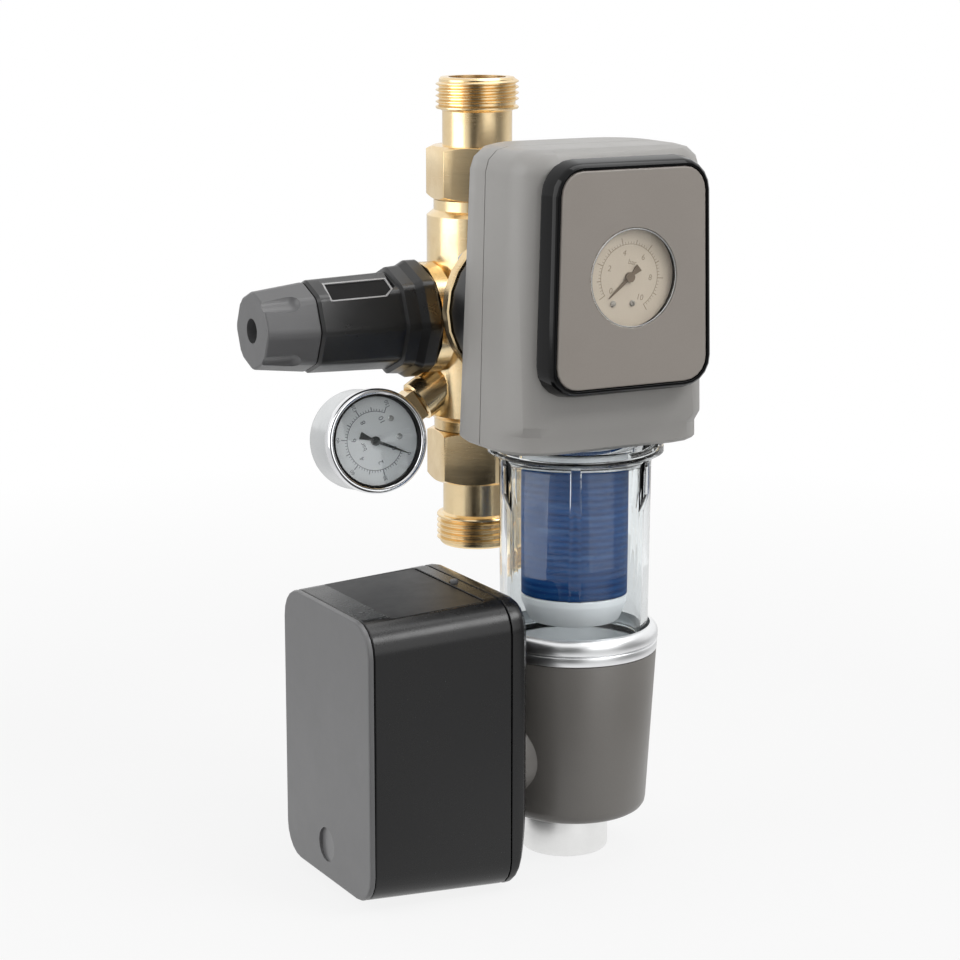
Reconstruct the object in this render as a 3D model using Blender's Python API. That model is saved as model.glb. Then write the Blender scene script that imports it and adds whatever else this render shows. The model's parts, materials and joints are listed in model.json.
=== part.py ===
"""Self cleaning water filter with pressure reducer, two gauges and a motor that flushes its drain ball valve.

Metres, +Z up. The pipe run stands on the Z axis with its origin midway between the two thread ends.
The filter head, its clear bowl and the drain hang in front of the run, towards -Y. The pressure
reducer, the outlet gauge and the flush actuator point to -X.
"""

import math

import bmesh
import bpy
from mathutils import Matrix, Vector

mm = 0.001

# Sides of a round piece: large and seen, middling, small and tiny
FINE = 24
ROUND = 16
SMALL = 10
TINY = 8

# Fits: gaps between pieces that touch on the real object
GAP = 0.3 * mm
SLIDE = 0.35 * mm

# Pipe run
RUN_LENGTH = 190 * mm
THREAD_RADIUS = 16.6 * mm
THREAD_LENGTH = 12.5 * mm
TAIL_NECK_RADIUS = 14.0 * mm
TAIL_NECK_LENGTH = 14.5 * mm
HEX_FLATS = 36.2 * mm
HEX_TURN = math.radians(52)
HEX_LENGTH = 21.2 * mm
PIPE_BORE = 11.5 * mm
SPIGOT_RADIUS = 14.8 * mm
SPIGOT_LENGTH = 8 * mm
BODY_RADIUS = 20.4 * mm
BODY_RIM_RADIUS = 17.6 * mm
BODY_RIM_LENGTH = 4 * mm
SEAL_THICKNESS = 1.6 * mm

# Pressure reducer, on an axis that points to -X
REDUCER_PORT_REACH = 27 * mm
REDUCER_PORT_RADIUS = 17 * mm
REDUCER_RING_RADIUS = 22.5 * mm
REDUCER_RING_LENGTH = 6 * mm
CHAMBER_RADIUS = 11.5 * mm
CHAMBER_END = 8 * mm
BONNET_RADIUS = 19.6 * mm
BONNET_TAPER = 0.8 * mm
BONNET_LENGTH = 50 * mm
BONNET_WALL = 5 * mm
BONNET_BASE_RADIUS = 24 * mm
BONNET_BASE_LENGTH = 9 * mm
BONNET_STEP_RADIUS = 21.8 * mm
BONNET_STEP_LENGTH = 5.6 * mm
LABEL_DEPTH = 1.5 * mm
LABEL_LEAN = math.radians(32)
KNOB_LENGTH = 21.8 * mm
KNOB_BIG_RADIUS = 18.2 * mm
KNOB_SMALL_RADIUS = 15.7 * mm
KNOB_HOLE_RADIUS = 4.9 * mm
KNOB_FLUTES = 4
KNOB_WALL = 3 * mm
SCREW_RADIUS = 4 * mm
SCREW_PITCH = 1.5 * mm
KNOB_TURNS = 4
PLATE_THICKNESS = 4 * mm
PISTON_HEAD_RADIUS = 13.5 * mm
PISTON_HEAD_LENGTH = 7 * mm
PISTON_STROKE = 2 * mm
VALVE_SEAT_BORE = 6 * mm
SPRING_WIRE = 1.3 * mm
SPRING_RADIUS = 9 * mm
SPRING_TURNS = 5

# Filter head
BOWL_AXIS_Y = -78.7 * mm
FLANGE_HEIGHT = 7 * mm
FLANGE_RADIUS = 31 * mm
FLANGE_FACE_Y = -33 * mm
FLANGE_THICKNESS = 5.5 * mm
PORT_SPACING = 22 * mm
PORT_RADIUS = 5 * mm
NECK_RADIUS = 30 * mm
GASKET_THICKNESS = 1 * mm
BOLT_CIRCLE = 25 * mm
BOLT_RADIUS = 2.5 * mm
BOLT_HEAD_RADIUS = 4 * mm
BOLT_HEAD_HEIGHT = 4 * mm
BOLT_LENGTH = 14 * mm
SHELL_BOTTOM = -37 * mm
SHELL_TOP = 74.5 * mm
SHELL_BACK_Y = -47.4 * mm
SHELL_FRONT_Y = -110.6 * mm
SHELL_SEAM_Y = -81 * mm
SHELL_HALF_WIDTH = 43 * mm
SHELL_TAPER = math.radians(1.4)
SHELL_BACK_LEAN = math.radians(2.2)
SHELL_BACK_CORNER = 23.5 * mm
SHELL_FRONT_CORNER = 15 * mm
SHELL_WALL = 2 * mm
SOCKET_WALL = 3 * mm
COLLAR_HEIGHT = 7 * mm
COLLAR_INSET = 1.5 * mm

# Front panel, its frame and the gauge behind it
PANEL_CENTRE_Z = 28.4 * mm
PANEL_HALF_WIDTH = 31.3 * mm
PANEL_HALF_HEIGHT = 39.8 * mm
PANEL_CORNER = 9 * mm
PANEL_THICKNESS = 2 * mm
FRAME_DEPTH = 8.9 * mm
FRAME_RIM = 1.1 * mm
FRAME_FLARE = 3.6 * mm
FRAME_WALL = 4 * mm
WINDOW_RADIUS = 18.5 * mm
LENS_THICKNESS = 1.5 * mm
INLET_CASE_RADIUS = 20 * mm
INLET_CASE_DEPTH = 14 * mm
INLET_STEM_RADIUS = 4.5 * mm
DIAL_THICKNESS = 0.8 * mm
NEEDLE_THICKNESS = 0.5 * mm
INLET_NEEDLE_REST = math.radians(-140)
OUTLET_NEEDLE_REST = math.radians(-145)

# Bowl and screen
BOWL_RADIUS = 29.2 * mm
BOWL_BASE_RADIUS = 28.6 * mm
BOWL_WALL = 3 * mm
BOWL_NECK_RADIUS = 24.6 * mm
BOWL_NECK_HEIGHT = 18 * mm
BOWL_FLANGE_RADIUS = 33.9 * mm
BOWL_FLANGE_TOP = -38 * mm
BOWL_FLANGE_THICKNESS = 4.5 * mm
BOWL_BASE = -115.5 * mm
BOWL_RIBS = 6
BOWL_RIB_LENGTH = 21 * mm
BOWL_RIB_WIDTH = 4.4 * mm
BOWL_RIB_HEIGHT = 1.4 * mm
SCREEN_RADIUS = 20.2 * mm
SCREEN_TOP = -45 * mm
SCREEN_BASE = -97 * mm
SCREEN_WALL = 1.4 * mm
SUPPORT_BARS = 8
SCREEN_CAP_HEIGHT = 11 * mm
SCREEN_SPIGOT_RADIUS = 13.6 * mm

# Drain
RING_WALL = 3.1 * mm
RING_TOP = -110 * mm
RING_HEIGHT = 10 * mm
DRAIN_RIM_INSET = 0.4 * mm
DRAIN_BASE_RADIUS = 28.6 * mm
DRAIN_BASE = -184.6 * mm
FLUSH_AXIS_Z = -159 * mm
VALVE_OFFSET = 3.6 * mm
BALL_RADIUS = 12 * mm
BALL_BORE = 7.5 * mm
SEAT_HEIGHT = 3 * mm
SIDE_PORT_RADIUS = 16 * mm
SPINDLE_RADIUS = 4 * mm
NOZZLE_RADIUS = 16.9 * mm
NOZZLE_LENGTH = 15.4 * mm
NOZZLE_BORE = 8.5 * mm
NOZZLE_SPIGOT_RADIUS = 12.6 * mm

# Flush actuator, a tapered box that points to -X
BOX_MOUNT_X = -41.5 * mm
BOX_END_X = -106.6 * mm
BOX_CENTRE_Z = -143.8 * mm
BOX_HALF_WIDTH = 39.45 * mm
BOX_HALF_HEIGHT = 55.75 * mm
BOX_TAPER = math.radians(2.5)
BOX_CORNER = 12 * mm
BOX_WALL = 2.4 * mm
BACK_COVER_DEPTH = 7.5 * mm
BACK_COVER_FOOT = 32 * mm
BACK_COVER_SWEEP = 4.6 * mm
END_COVER_DEPTH = 2 * mm
COVER_SKIRT = 6 * mm
COVER_TRAVEL = 12 * mm
NOTCH_RADIUS = 6.6 * mm
NOTCH_DEPTH = 1.3 * mm
NOTCH_HEIGHT = 16 * mm
TOP_PANEL_LENGTH = 38 * mm
TOP_PANEL_START = 6 * mm
TOP_PANEL_WIDTH = 57 * mm
TOP_PANEL_THICKNESS = 0.9 * mm
TOP_PANEL_SINK = 0.4 * mm
BUTTON_RADIUS = 1.5 * mm
BUTTON_START = 3.1 * mm
BUTTON_OFFSET = 0.4 * mm
BUTTON_LENGTH = 7 * mm
BUTTON_TRAVEL = 1 * mm
GEAR_PLATE_THICKNESS = 2.5 * mm
GEAR_MODULE = 1.1 * mm
GEAR_TEETH = 32
PINION_TEETH = 10
GEAR_WIDTH = 5 * mm
MOTOR_RADIUS = 12 * mm
MOTOR_LENGTH = 27 * mm
CELL_RADIUS = 7.1 * mm
CELL_LENGTH = 50 * mm
CELL_COUNT = 4
BATTERY_LIFT = 15.8 * mm
BOARD_THICKNESS = 1.6 * mm
BOARD_LENGTH = 32 * mm
BOARD_HALF_WIDTH = 24 * mm
TONGUE_HALF_WIDTH = 4 * mm
SWITCH_HALF_WIDTH = 3 * mm
SWITCH_HEIGHT = 3 * mm

# Outlet gauge, screwed sideways into a boss below the reducer
GAUGE_RADIUS = 21 * mm
GAUGE_DEPTH = 26 * mm
GAUGE_DISTANCE = 58.9 * mm
GAUGE_ANGLE = math.radians(31.5)
GAUGE_TURN = math.radians(10)
GAUGE_FOOT_Z = -17 * mm
GAUGE_WALL = 1 * mm
BEZEL_LENGTH = 4.6 * mm
BEZEL_LIP = 2.6 * mm
BOSS_RADIUS = 8.6 * mm
BOSS_END = 33 * mm
STEM_RADIUS = 4.8 * mm
STEM_FLATS = 12 * mm

TO_LEFT = Matrix.Rotation(math.radians(-90), 4, "Y")
TO_FRONT = Matrix.Rotation(math.radians(90), 4, "X")
UPRIGHT = Matrix.Identity(4)


def clear_scene():
    for old in list(bpy.data.objects):
        bpy.data.objects.remove(old, do_unlink=True)


def make_material(name, colour, roughness, metallic=0.0):
    material = bpy.data.materials.new(name)
    material.use_nodes = True
    shader = material.node_tree.nodes["Principled BSDF"]
    shader.inputs["Base Color"].default_value = (*colour, 1.0)
    shader.inputs["Roughness"].default_value = roughness
    shader.inputs["Metallic"].default_value = metallic
    material.diffuse_color = (*colour, 1.0)
    return material


def spot(x=0.0, y=0.0, z=0.0, turn=UPRIGHT):
    """A place: the matrix that moves to (x, y, z) after turning."""
    return Matrix.Translation((x, y, z)) @ turn


def make_object(name, bm, material, place, smooth=True):
    """One object from a bmesh whose local origin and +Z are the piece's own axis."""
    bmesh.ops.remove_doubles(bm, verts=bm.verts, dist=1e-6)
    bmesh.ops.recalc_face_normals(bm, faces=bm.faces)
    mesh = bpy.data.meshes.new(name)
    bm.to_mesh(mesh)
    bm.free()
    if smooth:
        mesh.shade_smooth()
        mesh.set_sharp_from_angle(angle=math.radians(30))
    obj = bpy.data.objects.new(name, mesh)
    bpy.context.scene.collection.objects.link(obj)
    obj.matrix_world = place
    if material is not None:
        mesh.materials.append(material)
    return obj


def turned_bmesh(outline, segments=ROUND):
    """A closed outline of (radius, height) points, spun round the local Z axis."""
    bm = bmesh.new()
    points = [bm.verts.new((radius, 0.0, height)) for radius, height in outline]
    pairs = zip(range(len(points)), list(range(1, len(points))) + [0])
    edges = [
        bm.edges.new((points[a], points[b]))
        for a, b in pairs
        if outline[a][0] > 0.0 or outline[b][0] > 0.0
    ]
    bmesh.ops.spin(
        bm,
        geom=points + edges,
        cent=(0.0, 0.0, 0.0),
        axis=(0.0, 0.0, 1.0),
        angle=2.0 * math.pi,
        steps=segments,
        use_merge=True,
    )
    bmesh.ops.remove_doubles(bm, verts=bm.verts, dist=1e-6)
    bmesh.ops.dissolve_degenerate(bm, edges=bm.edges, dist=1e-6)
    flat_heights = [
        a[1] for a, b in zip(outline, outline[1:] + outline[:1]) if abs(a[1] - b[1]) < 1e-9
    ]
    middles = [
        v
        for v in bm.verts
        if v.co.xy.length < 1e-7 and any(abs(v.co.z - height) < 1e-7 for height in flat_heights)
    ]
    bmesh.ops.dissolve_verts(bm, verts=middles)
    return bm


def turned(name, outline, material=None, place=UPRIGHT, segments=ROUND):
    return make_object(name, turned_bmesh(outline, segments), material, place)


def rod_outline(radius, bottom, top, chamfer=0.0):
    if chamfer <= 0.0:
        return [(0.0, bottom), (radius, bottom), (radius, top), (0.0, top)]
    return [
        (0.0, bottom),
        (radius - chamfer, bottom),
        (radius, bottom + chamfer),
        (radius, top - chamfer),
        (radius - chamfer, top),
        (0.0, top),
    ]


def ring_outline(inner, outer, bottom, top, chamfer=0.0):
    if chamfer <= 0.0:
        return [(inner, bottom), (outer, bottom), (outer, top), (inner, top)]
    return [
        (inner, bottom),
        (outer - chamfer, bottom),
        (outer, bottom + chamfer),
        (outer, top - chamfer),
        (outer - chamfer, top),
        (inner, top),
    ]


def rod(name, radius, bottom, top, material=None, place=UPRIGHT, segments=ROUND, chamfer=0.0):
    return turned(name, rod_outline(radius, bottom, top, chamfer), material, place, segments)


def ring(name, inner, outer, bottom, top, material=None, place=UPRIGHT, segments=ROUND, chamfer=0.0):
    outline = ring_outline(inner, outer, bottom, top, chamfer)
    return turned(name, outline, material, place, segments)


def skin_sections(sections):
    """A solid through sections, each a loop of as many points, with flat ends."""
    bm = bmesh.new()
    loops = [[bm.verts.new(point) for point in section] for section in sections]
    count = len(loops[0])
    for lower, upper in zip(loops, loops[1:]):
        for i in range(count):
            j = (i + 1) % count
            bm.faces.new((lower[i], lower[j], upper[j], upper[i]))
    bm.faces.new(reversed(loops[0]))
    bm.faces.new(loops[-1])
    return bm


def polygon(radius, sides, height, first=0.0):
    return [
        (
            radius * math.cos(first + 2 * math.pi * i / sides),
            radius * math.sin(first + 2 * math.pi * i / sides),
            height,
        )
        for i in range(sides)
    ]


def soft_polygon(radius, sides, height, softness, first=0.0):
    """A polygon whose corners are rounded over a length, with two new points each."""
    corners = [Vector(point) for point in polygon(radius, sides, height, first)]
    points = []
    for i, corner in enumerate(corners):
        before = (corners[i - 1] - corner).normalized() * softness
        after = (corners[(i + 1) % sides] - corner).normalized() * softness
        points += [corner + before, corner + (before + after) * 0.26, corner + after]
    return points


def round_rectangle(half_x, half_y, corner, height=0.0, steps=4):
    """Points round a rectangle with round corners, centred on the local origin."""
    points = []
    quarter = math.pi / 2
    for k, (sx, sy) in enumerate(((1, 1), (-1, 1), (-1, -1), (1, -1))):
        centre_x = sx * (half_x - corner)
        centre_y = sy * (half_y - corner)
        for i in range(steps + 1):
            angle = k * quarter + quarter * i / steps
            points.append(
                (centre_x + corner * math.cos(angle), centre_y + corner * math.sin(angle), height)
            )
    return points


def block_bmesh(x, y, z):
    """A box between the pairs x, y and z."""
    bm = bmesh.new()
    bmesh.ops.create_cube(bm, size=1.0)
    scale = (x[1] - x[0], y[1] - y[0], z[1] - z[0])
    centre = ((x[0] + x[1]) / 2, (y[0] + y[1]) / 2, (z[0] + z[1]) / 2)
    bmesh.ops.scale(bm, vec=scale, verts=bm.verts)
    bmesh.ops.translate(bm, vec=centre, verts=bm.verts)
    return bm


def block(name, x, y, z, material=None, place=UPRIGHT):
    return make_object(name, block_bmesh(x, y, z), material, place, smooth=False)


def boolean(piece, tool, operation):
    """Cuts, joins or trims a piece by a tool, which stays in the scene as a hidden guide."""
    tool.hide_render = True
    tool.display_type = "WIRE"
    modifier = piece.modifiers.new(tool.name, "BOOLEAN")
    modifier.operation = operation
    modifier.solver = "EXACT"
    modifier.object = tool


def cut(piece, *tools):
    for tool in tools:
        boolean(piece, tool, "DIFFERENCE")


def join(piece, *tools):
    for tool in tools:
        boolean(piece, tool, "UNION")


def keep(piece, tool):
    boolean(piece, tool, "INTERSECT")


def axis_empty(name, place):
    empty = bpy.data.objects.new(name, None)
    bpy.context.scene.collection.objects.link(empty)
    empty.matrix_world = place
    return empty


def hang(empty, *pieces):
    """Parents the pieces of one moving body to the empty on its joint's axis."""
    bpy.context.view_layer.update()
    for piece in pieces:
        world = piece.matrix_world.copy()
        piece.parent = empty
        piece.matrix_parent_inverse = empty.matrix_world.inverted()
        piece.matrix_world = world


def merged(bm, other):
    """Adds another bmesh to the first as a separate solid."""
    mesh = bpy.data.meshes.new("part")
    other.to_mesh(mesh)
    other.free()
    bm.from_mesh(mesh)
    bpy.data.meshes.remove(mesh)
    return bm


# Pipe run: one brass body between two tails with hexagons and threads


def body_half_height():
    return RUN_LENGTH / 2 - THREAD_LENGTH - TAIL_NECK_LENGTH - HEX_LENGTH - GAP


def make_connector_body(brass):
    top = body_half_height()
    shoulder = top - BODY_RIM_LENGTH
    slope = BODY_RADIUS - BODY_RIM_RADIUS
    body = turned(
        "connector_body",
        [
            (0.0, -top),
            (BODY_RIM_RADIUS, -top),
            (BODY_RIM_RADIUS, -shoulder),
            (BODY_RADIUS, -shoulder + slope * 0.8),
            (BODY_RADIUS, shoulder - slope * 0.8),
            (BODY_RIM_RADIUS, shoulder),
            (BODY_RIM_RADIUS, top),
            (0.0, top),
        ],
        brass,
        segments=FINE,
    )
    ring_start = REDUCER_PORT_REACH - REDUCER_RING_LENGTH
    reducer_port = turned(
        "reducer_port_form",
        [
            (0.0, 0.0),
            (REDUCER_PORT_RADIUS, 0.0),
            (REDUCER_PORT_RADIUS, ring_start - 2 * mm),
            (REDUCER_RING_RADIUS, ring_start),
            (REDUCER_RING_RADIUS, REDUCER_PORT_REACH),
            (0.0, REDUCER_PORT_REACH),
        ],
        place=spot(turn=TO_LEFT),
    )
    back = -FLANGE_FACE_Y - FLANGE_THICKNESS
    flange = turned(
        "head_flange_form",
        [
            (0.0, 0.0),
            (BODY_RADIUS - 2 * mm, 0.0),
            (BODY_RADIUS - 3 * mm, back - 6 * mm),
            (BODY_RADIUS, back),
            (FLANGE_RADIUS - 1 * mm, back),
            (FLANGE_RADIUS, back + 1 * mm),
            (FLANGE_RADIUS, -FLANGE_FACE_Y - 0.6 * mm),
            (FLANGE_RADIUS - 0.6 * mm, -FLANGE_FACE_Y),
            (0.0, -FLANGE_FACE_Y),
        ],
        place=spot(z=FLANGE_HEIGHT, turn=TO_FRONT),
        segments=FINE,
    )
    half_facet = Matrix.Rotation(math.pi / ROUND, 4, "Z")
    boss_place = gauge_place(0.0) @ half_facet
    boss = rod("gauge_boss_form", BOSS_RADIUS, 0.0, BOSS_END, place=boss_place, chamfer=0.8 * mm)
    join(body, reducer_port, flange, boss)
    counterbore = SPIGOT_RADIUS + GAP
    depth = SPIGOT_LENGTH + SEAL_THICKNESS + GAP
    low_web = -26 * mm
    cuts = [
        rod("inlet_bore", PIPE_BORE, CHAMBER_RADIUS + 3.5 * mm, top + 1 * mm),
        rod("outlet_bore", PIPE_BORE, -top - 1 * mm, low_web),
        rod("inlet_counterbore", counterbore, top - depth, top + 1 * mm),
        rod("outlet_counterbore", counterbore, -top - 1 * mm, -top + depth),
        rod(
            "reducer_chamber",
            CHAMBER_RADIUS,
            -CHAMBER_END,
            REDUCER_PORT_REACH + 1 * mm,
            place=spot(turn=TO_LEFT),
        ),
        rod(
            "outlet_passage",
            6.2 * mm,
            0.0,
            36 * mm,
            place=spot(x=-20 * mm, z=-8 * mm, turn=Matrix.Rotation(math.radians(152), 4, "Y")),
            segments=SMALL,
        ),
        rod("gauge_socket", STEM_RADIUS + GAP, BOSS_END - 12 * mm, BOSS_END + 1 * mm, place=gauge_place(0.0)),
        rod("gauge_tap", 2 * mm, 4 * mm, BOSS_END, place=gauge_place(0.0), segments=TINY),
        rod(
            "bonnet_relief",
            BONNET_BASE_RADIUS + 0.6 * mm,
            REDUCER_PORT_REACH + GAP / 2,
            REDUCER_PORT_REACH + 20 * mm,
            place=spot(turn=TO_LEFT),
        ),
    ]
    for sign, name in ((1, "to_filter"), (-1, "from_filter")):
        height = FLANGE_HEIGHT + sign * PORT_SPACING / 2
        cuts.append(
            rod(name, PORT_RADIUS, 4 * mm, 40 * mm, place=spot(z=height, turn=TO_FRONT), segments=SMALL)
        )
    cut(body, *cuts)
    cut(body, bolt_holes("flange_bolt_holes"))
    return body


def make_tail(name, brass, side):
    """A tail: threaded collar, neck, hexagon and the spigot that enters the body. side is 1 or -1."""
    end = RUN_LENGTH / 2
    collar = end - THREAD_LENGTH
    neck = collar - TAIL_NECK_LENGTH
    hexagon = neck - HEX_LENGTH
    turn = UPRIGHT if side > 0 else Matrix.Rotation(math.pi, 4, "X")
    chamfer = 1.2 * mm
    tail = turned(
        name,
        [
            (PIPE_BORE, hexagon - SPIGOT_LENGTH),
            (SPIGOT_RADIUS, hexagon - SPIGOT_LENGTH),
            (SPIGOT_RADIUS, hexagon + 2 * mm),
            (TAIL_NECK_RADIUS, neck - 2 * mm),
            (TAIL_NECK_RADIUS, collar - 0.6 * mm),
            (THREAD_RADIUS - 0.6 * mm, collar),
            (THREAD_RADIUS, collar + 0.6 * mm),
            (THREAD_RADIUS, end - chamfer),
            (THREAD_RADIUS - chamfer, end),
            (PIPE_BORE, end),
        ],
        brass,
        spot(turn=turn),
        segments=FINE,
    )
    corner = HEX_FLATS / 2 / math.cos(math.pi / 6)
    hex_solid = make_object(
        name + "_hex_form",
        skin_sections([polygon(corner, 6, height, HEX_TURN * side) for height in (hexagon, neck)]),
        None,
        spot(turn=turn),
    )
    crowned = turned(
        name + "_crown_form",
        [
            (PIPE_BORE + 1.5 * mm, hexagon),
            (HEX_FLATS / 2 - 0.2 * mm, hexagon),
            (corner + 0.1 * mm, hexagon + chamfer),
            (corner + 0.1 * mm, neck - chamfer),
            (HEX_FLATS / 2 - 0.2 * mm, neck),
            (PIPE_BORE + 1.5 * mm, neck),
        ],
        place=spot(turn=turn),
        segments=FINE,
    )
    keep(hex_solid, crowned)
    join(tail, hex_solid)
    return tail


def make_tail_seal(name, rubber, side):
    top = body_half_height()
    low = top - SPIGOT_LENGTH - SEAL_THICKNESS
    turn = UPRIGHT if side > 0 else Matrix.Rotation(math.pi, 4, "X")
    return ring(
        name, PIPE_BORE + 0.5 * mm, SPIGOT_RADIUS, low, low + SEAL_THICKNESS, rubber, spot(turn=turn)
    )


# Pressure reducer: bonnet, knob with its screw, spring plate, spring, piston and seat


def reducer_place(distance=0.0):
    return spot(x=-distance, turn=TO_LEFT)


def bonnet_start():
    return REDUCER_PORT_REACH + GAP


def knob_start():
    return bonnet_start() + BONNET_LENGTH + GAP


def make_reducer_bonnet(plastic):
    """An eight sided housing with a stepped base and the sunk name plate field, left bare."""
    start = bonnet_start()
    base_top = start + BONNET_BASE_LENGTH
    step_top = base_top + BONNET_STEP_LENGTH
    end = start + BONNET_LENGTH
    narrow = BONNET_RADIUS - BONNET_TAPER
    sections = [
        soft_polygon(BONNET_BASE_RADIUS - 0.8 * mm, 8, start, 2 * mm),
        soft_polygon(BONNET_BASE_RADIUS, 8, start + 1.2 * mm, 2 * mm),
        soft_polygon(BONNET_BASE_RADIUS, 8, base_top - 3 * mm, 2 * mm),
        soft_polygon(BONNET_STEP_RADIUS + 0.4 * mm, 8, base_top, 2 * mm),
        soft_polygon(BONNET_STEP_RADIUS, 8, step_top - 0.6 * mm, 2 * mm),
        soft_polygon(BONNET_RADIUS + 0.3 * mm, 8, step_top, 2 * mm),
        soft_polygon(narrow, 8, end - 1.2 * mm, 2 * mm),
        soft_polygon(narrow - 1 * mm, 8, end, 2 * mm),
    ]
    bonnet = make_object("reducer_bonnet", skin_sections(sections), plastic, reducer_place())
    bore = bonnet_bore()
    cavity = turned(
        "bonnet_cavity",
        [
            (0.0, start - 1 * mm),
            (bore, start - 1 * mm),
            (bore, end - 5 * mm),
            (SCREW_RADIUS + GAP, end - 5 * mm),
            (SCREW_RADIUS + GAP, end + 1 * mm),
            (0.0, end + 1 * mm),
        ],
        place=reducer_place(),
    )
    keyway = block(
        "plate_keyway",
        (bore - 3 * mm, bore + 1 * mm + SLIDE),
        (-1.5 * mm - SLIDE, 1.5 * mm + SLIDE),
        (end - 25 * mm, end - 6 * mm),
        place=reducer_place(),
    )
    cut(bonnet, cavity, keyway, make_label_field(step_top, end))
    return bonnet


def bonnet_bore():
    return BONNET_RADIUS - BONNET_WALL


def make_label_field(near, far):
    """Cutter for the name plate field: a flat facet milled over the edge that looks up and forward."""
    floor = BONNET_RADIUS - BONNET_TAPER / 2 - LABEL_DEPTH - 1 * mm
    start = -near - 0.5 * mm
    end = -far + 6 * mm
    low = -6.2 * mm
    shape = [(start, -1.4 * mm), (start, 11 * mm), (end, 11 * mm), (end, 5 * mm), (end - 0.5 * mm, low), (start - 5 * mm, low)]
    sections = [[(x, y, height) for x, y in shape] for height in (floor, floor + 7 * mm)]
    taper = Matrix.Rotation(math.atan2(BONNET_TAPER, far - near), 4, "Y")
    middle = Matrix.Translation(((start + end) / 2, 0.0, 0.0))
    turn = Matrix.Rotation(LABEL_LEAN, 4, "X") @ middle @ taper.inverted() @ middle.inverted()
    return make_object("label_field", skin_sections(sections), None, turn)


def make_pressure_knob(plastic):
    """An eight sided tapered cup with a finger flute on every other side."""
    start = knob_start()
    end = start + KNOB_LENGTH
    edge = 1.2 * mm
    soft = 2.6 * mm
    sections = [
        soft_polygon(KNOB_BIG_RADIUS - 0.4 * mm, 8, start, soft),
        soft_polygon(KNOB_BIG_RADIUS, 8, start + 0.6 * mm, soft),
        soft_polygon(KNOB_SMALL_RADIUS, 8, end - edge, soft),
        soft_polygon(KNOB_SMALL_RADIUS - edge, 8, end, soft),
    ]
    knob = make_object("pressure_knob", skin_sections(sections), plastic, reducer_place())
    inner = KNOB_SMALL_RADIUS - KNOB_WALL
    cup = turned(
        "knob_cup",
        [
            (0.0, start - 1 * mm),
            (SCREW_RADIUS + GAP, start - 1 * mm),
            (SCREW_RADIUS + GAP, start + 8 * mm),
            (inner, start + 8 * mm),
            (inner, end - 6 * mm),
            (KNOB_HOLE_RADIUS, end - 4 * mm),
            (KNOB_HOLE_RADIUS, end + 1 * mm),
            (0.0, end + 1 * mm),
        ],
        place=reducer_place(),
    )
    cut(knob, cup)
    for i in range(KNOB_FLUTES):
        knob_flute = flute(f"knob_flute_{i + 1}", start, end)
        angle = -math.pi / 2 + math.radians(22.5) + 2 * math.pi * i / KNOB_FLUTES
        knob_flute.matrix_world = reducer_place() @ Matrix.Rotation(angle, 4, "Z")
        cut(knob, knob_flute)
    return knob


def flute(name, start, end):
    """Cutter for one finger flute: open at the knob's end, with a round end towards the bonnet."""
    half = 3.6 * mm
    floor = KNOB_SMALL_RADIUS * math.cos(math.pi / 8) - 1.4 * mm
    stop = start + 7.5 * mm
    shape = [(end + 2 * mm, -half), (end + 2 * mm, half)]
    for i in range(5):
        angle = math.pi / 2 - math.pi * i / 4
        shape.append((stop + half * (1 - math.cos(angle)), half * math.sin(angle)))
    low = [(floor, y, z) for z, y in shape]
    high = [(KNOB_BIG_RADIUS + 3 * mm, y, z) for z, y in shape]
    return make_object(name, skin_sections([low, high]), None, UPRIGHT)


def screw_reach():
    """How far the adjusting screw goes into the bonnet, measured from the knob."""
    return 22 * mm


def make_adjusting_screw(steel):
    start = knob_start() - screw_reach()
    head = knob_start() + 8 * mm + GAP
    return turned(
        "adjusting_screw",
        [
            (0.0, start),
            (SCREW_RADIUS - 0.6 * mm, start),
            (SCREW_RADIUS, start + 0.6 * mm),
            (SCREW_RADIUS, head),
            (SCREW_RADIUS + 2.5 * mm, head),
            (SCREW_RADIUS + 2.5 * mm, head + 3.5 * mm),
            (2 * mm, head + 3.5 * mm),
            (2 * mm, head + 1.5 * mm),
            (0.0, head + 1.5 * mm),
        ],
        steel,
        reducer_place(),
        segments=SMALL,
    )


def plate_near():
    """The spring plate's face towards the pipe, halfway along its travel."""
    return knob_start() - 15 * mm


def make_spring_plate(steel):
    """A threaded plate that the screw drives along the bonnet, kept from turning by its lug."""
    near = plate_near()
    bore = bonnet_bore()
    plate = turned(
        "spring_plate",
        [
            (SCREW_RADIUS + GAP, near),
            (SPRING_RADIUS - SPRING_WIRE - 1 * mm, near),
            (SPRING_RADIUS - SPRING_WIRE - 0.6 * mm, near + 1 * mm),
            (bore - SLIDE, near + 1 * mm),
            (bore - SLIDE, near + PLATE_THICKNESS),
            (SCREW_RADIUS + GAP, near + PLATE_THICKNESS),
        ],
        steel,
        reducer_place(),
    )
    lug = block(
        "plate_lug_form",
        (bore - 3 * mm, bore + 1 * mm),
        (-1.5 * mm, 1.5 * mm),
        (near + 1.3 * mm, near + PLATE_THICKNESS - 0.3 * mm),
        place=reducer_place(),
    )
    join(plate, lug)
    return plate


def piston_near():
    return bonnet_start() + PISTON_STROKE + 1 * mm


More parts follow.
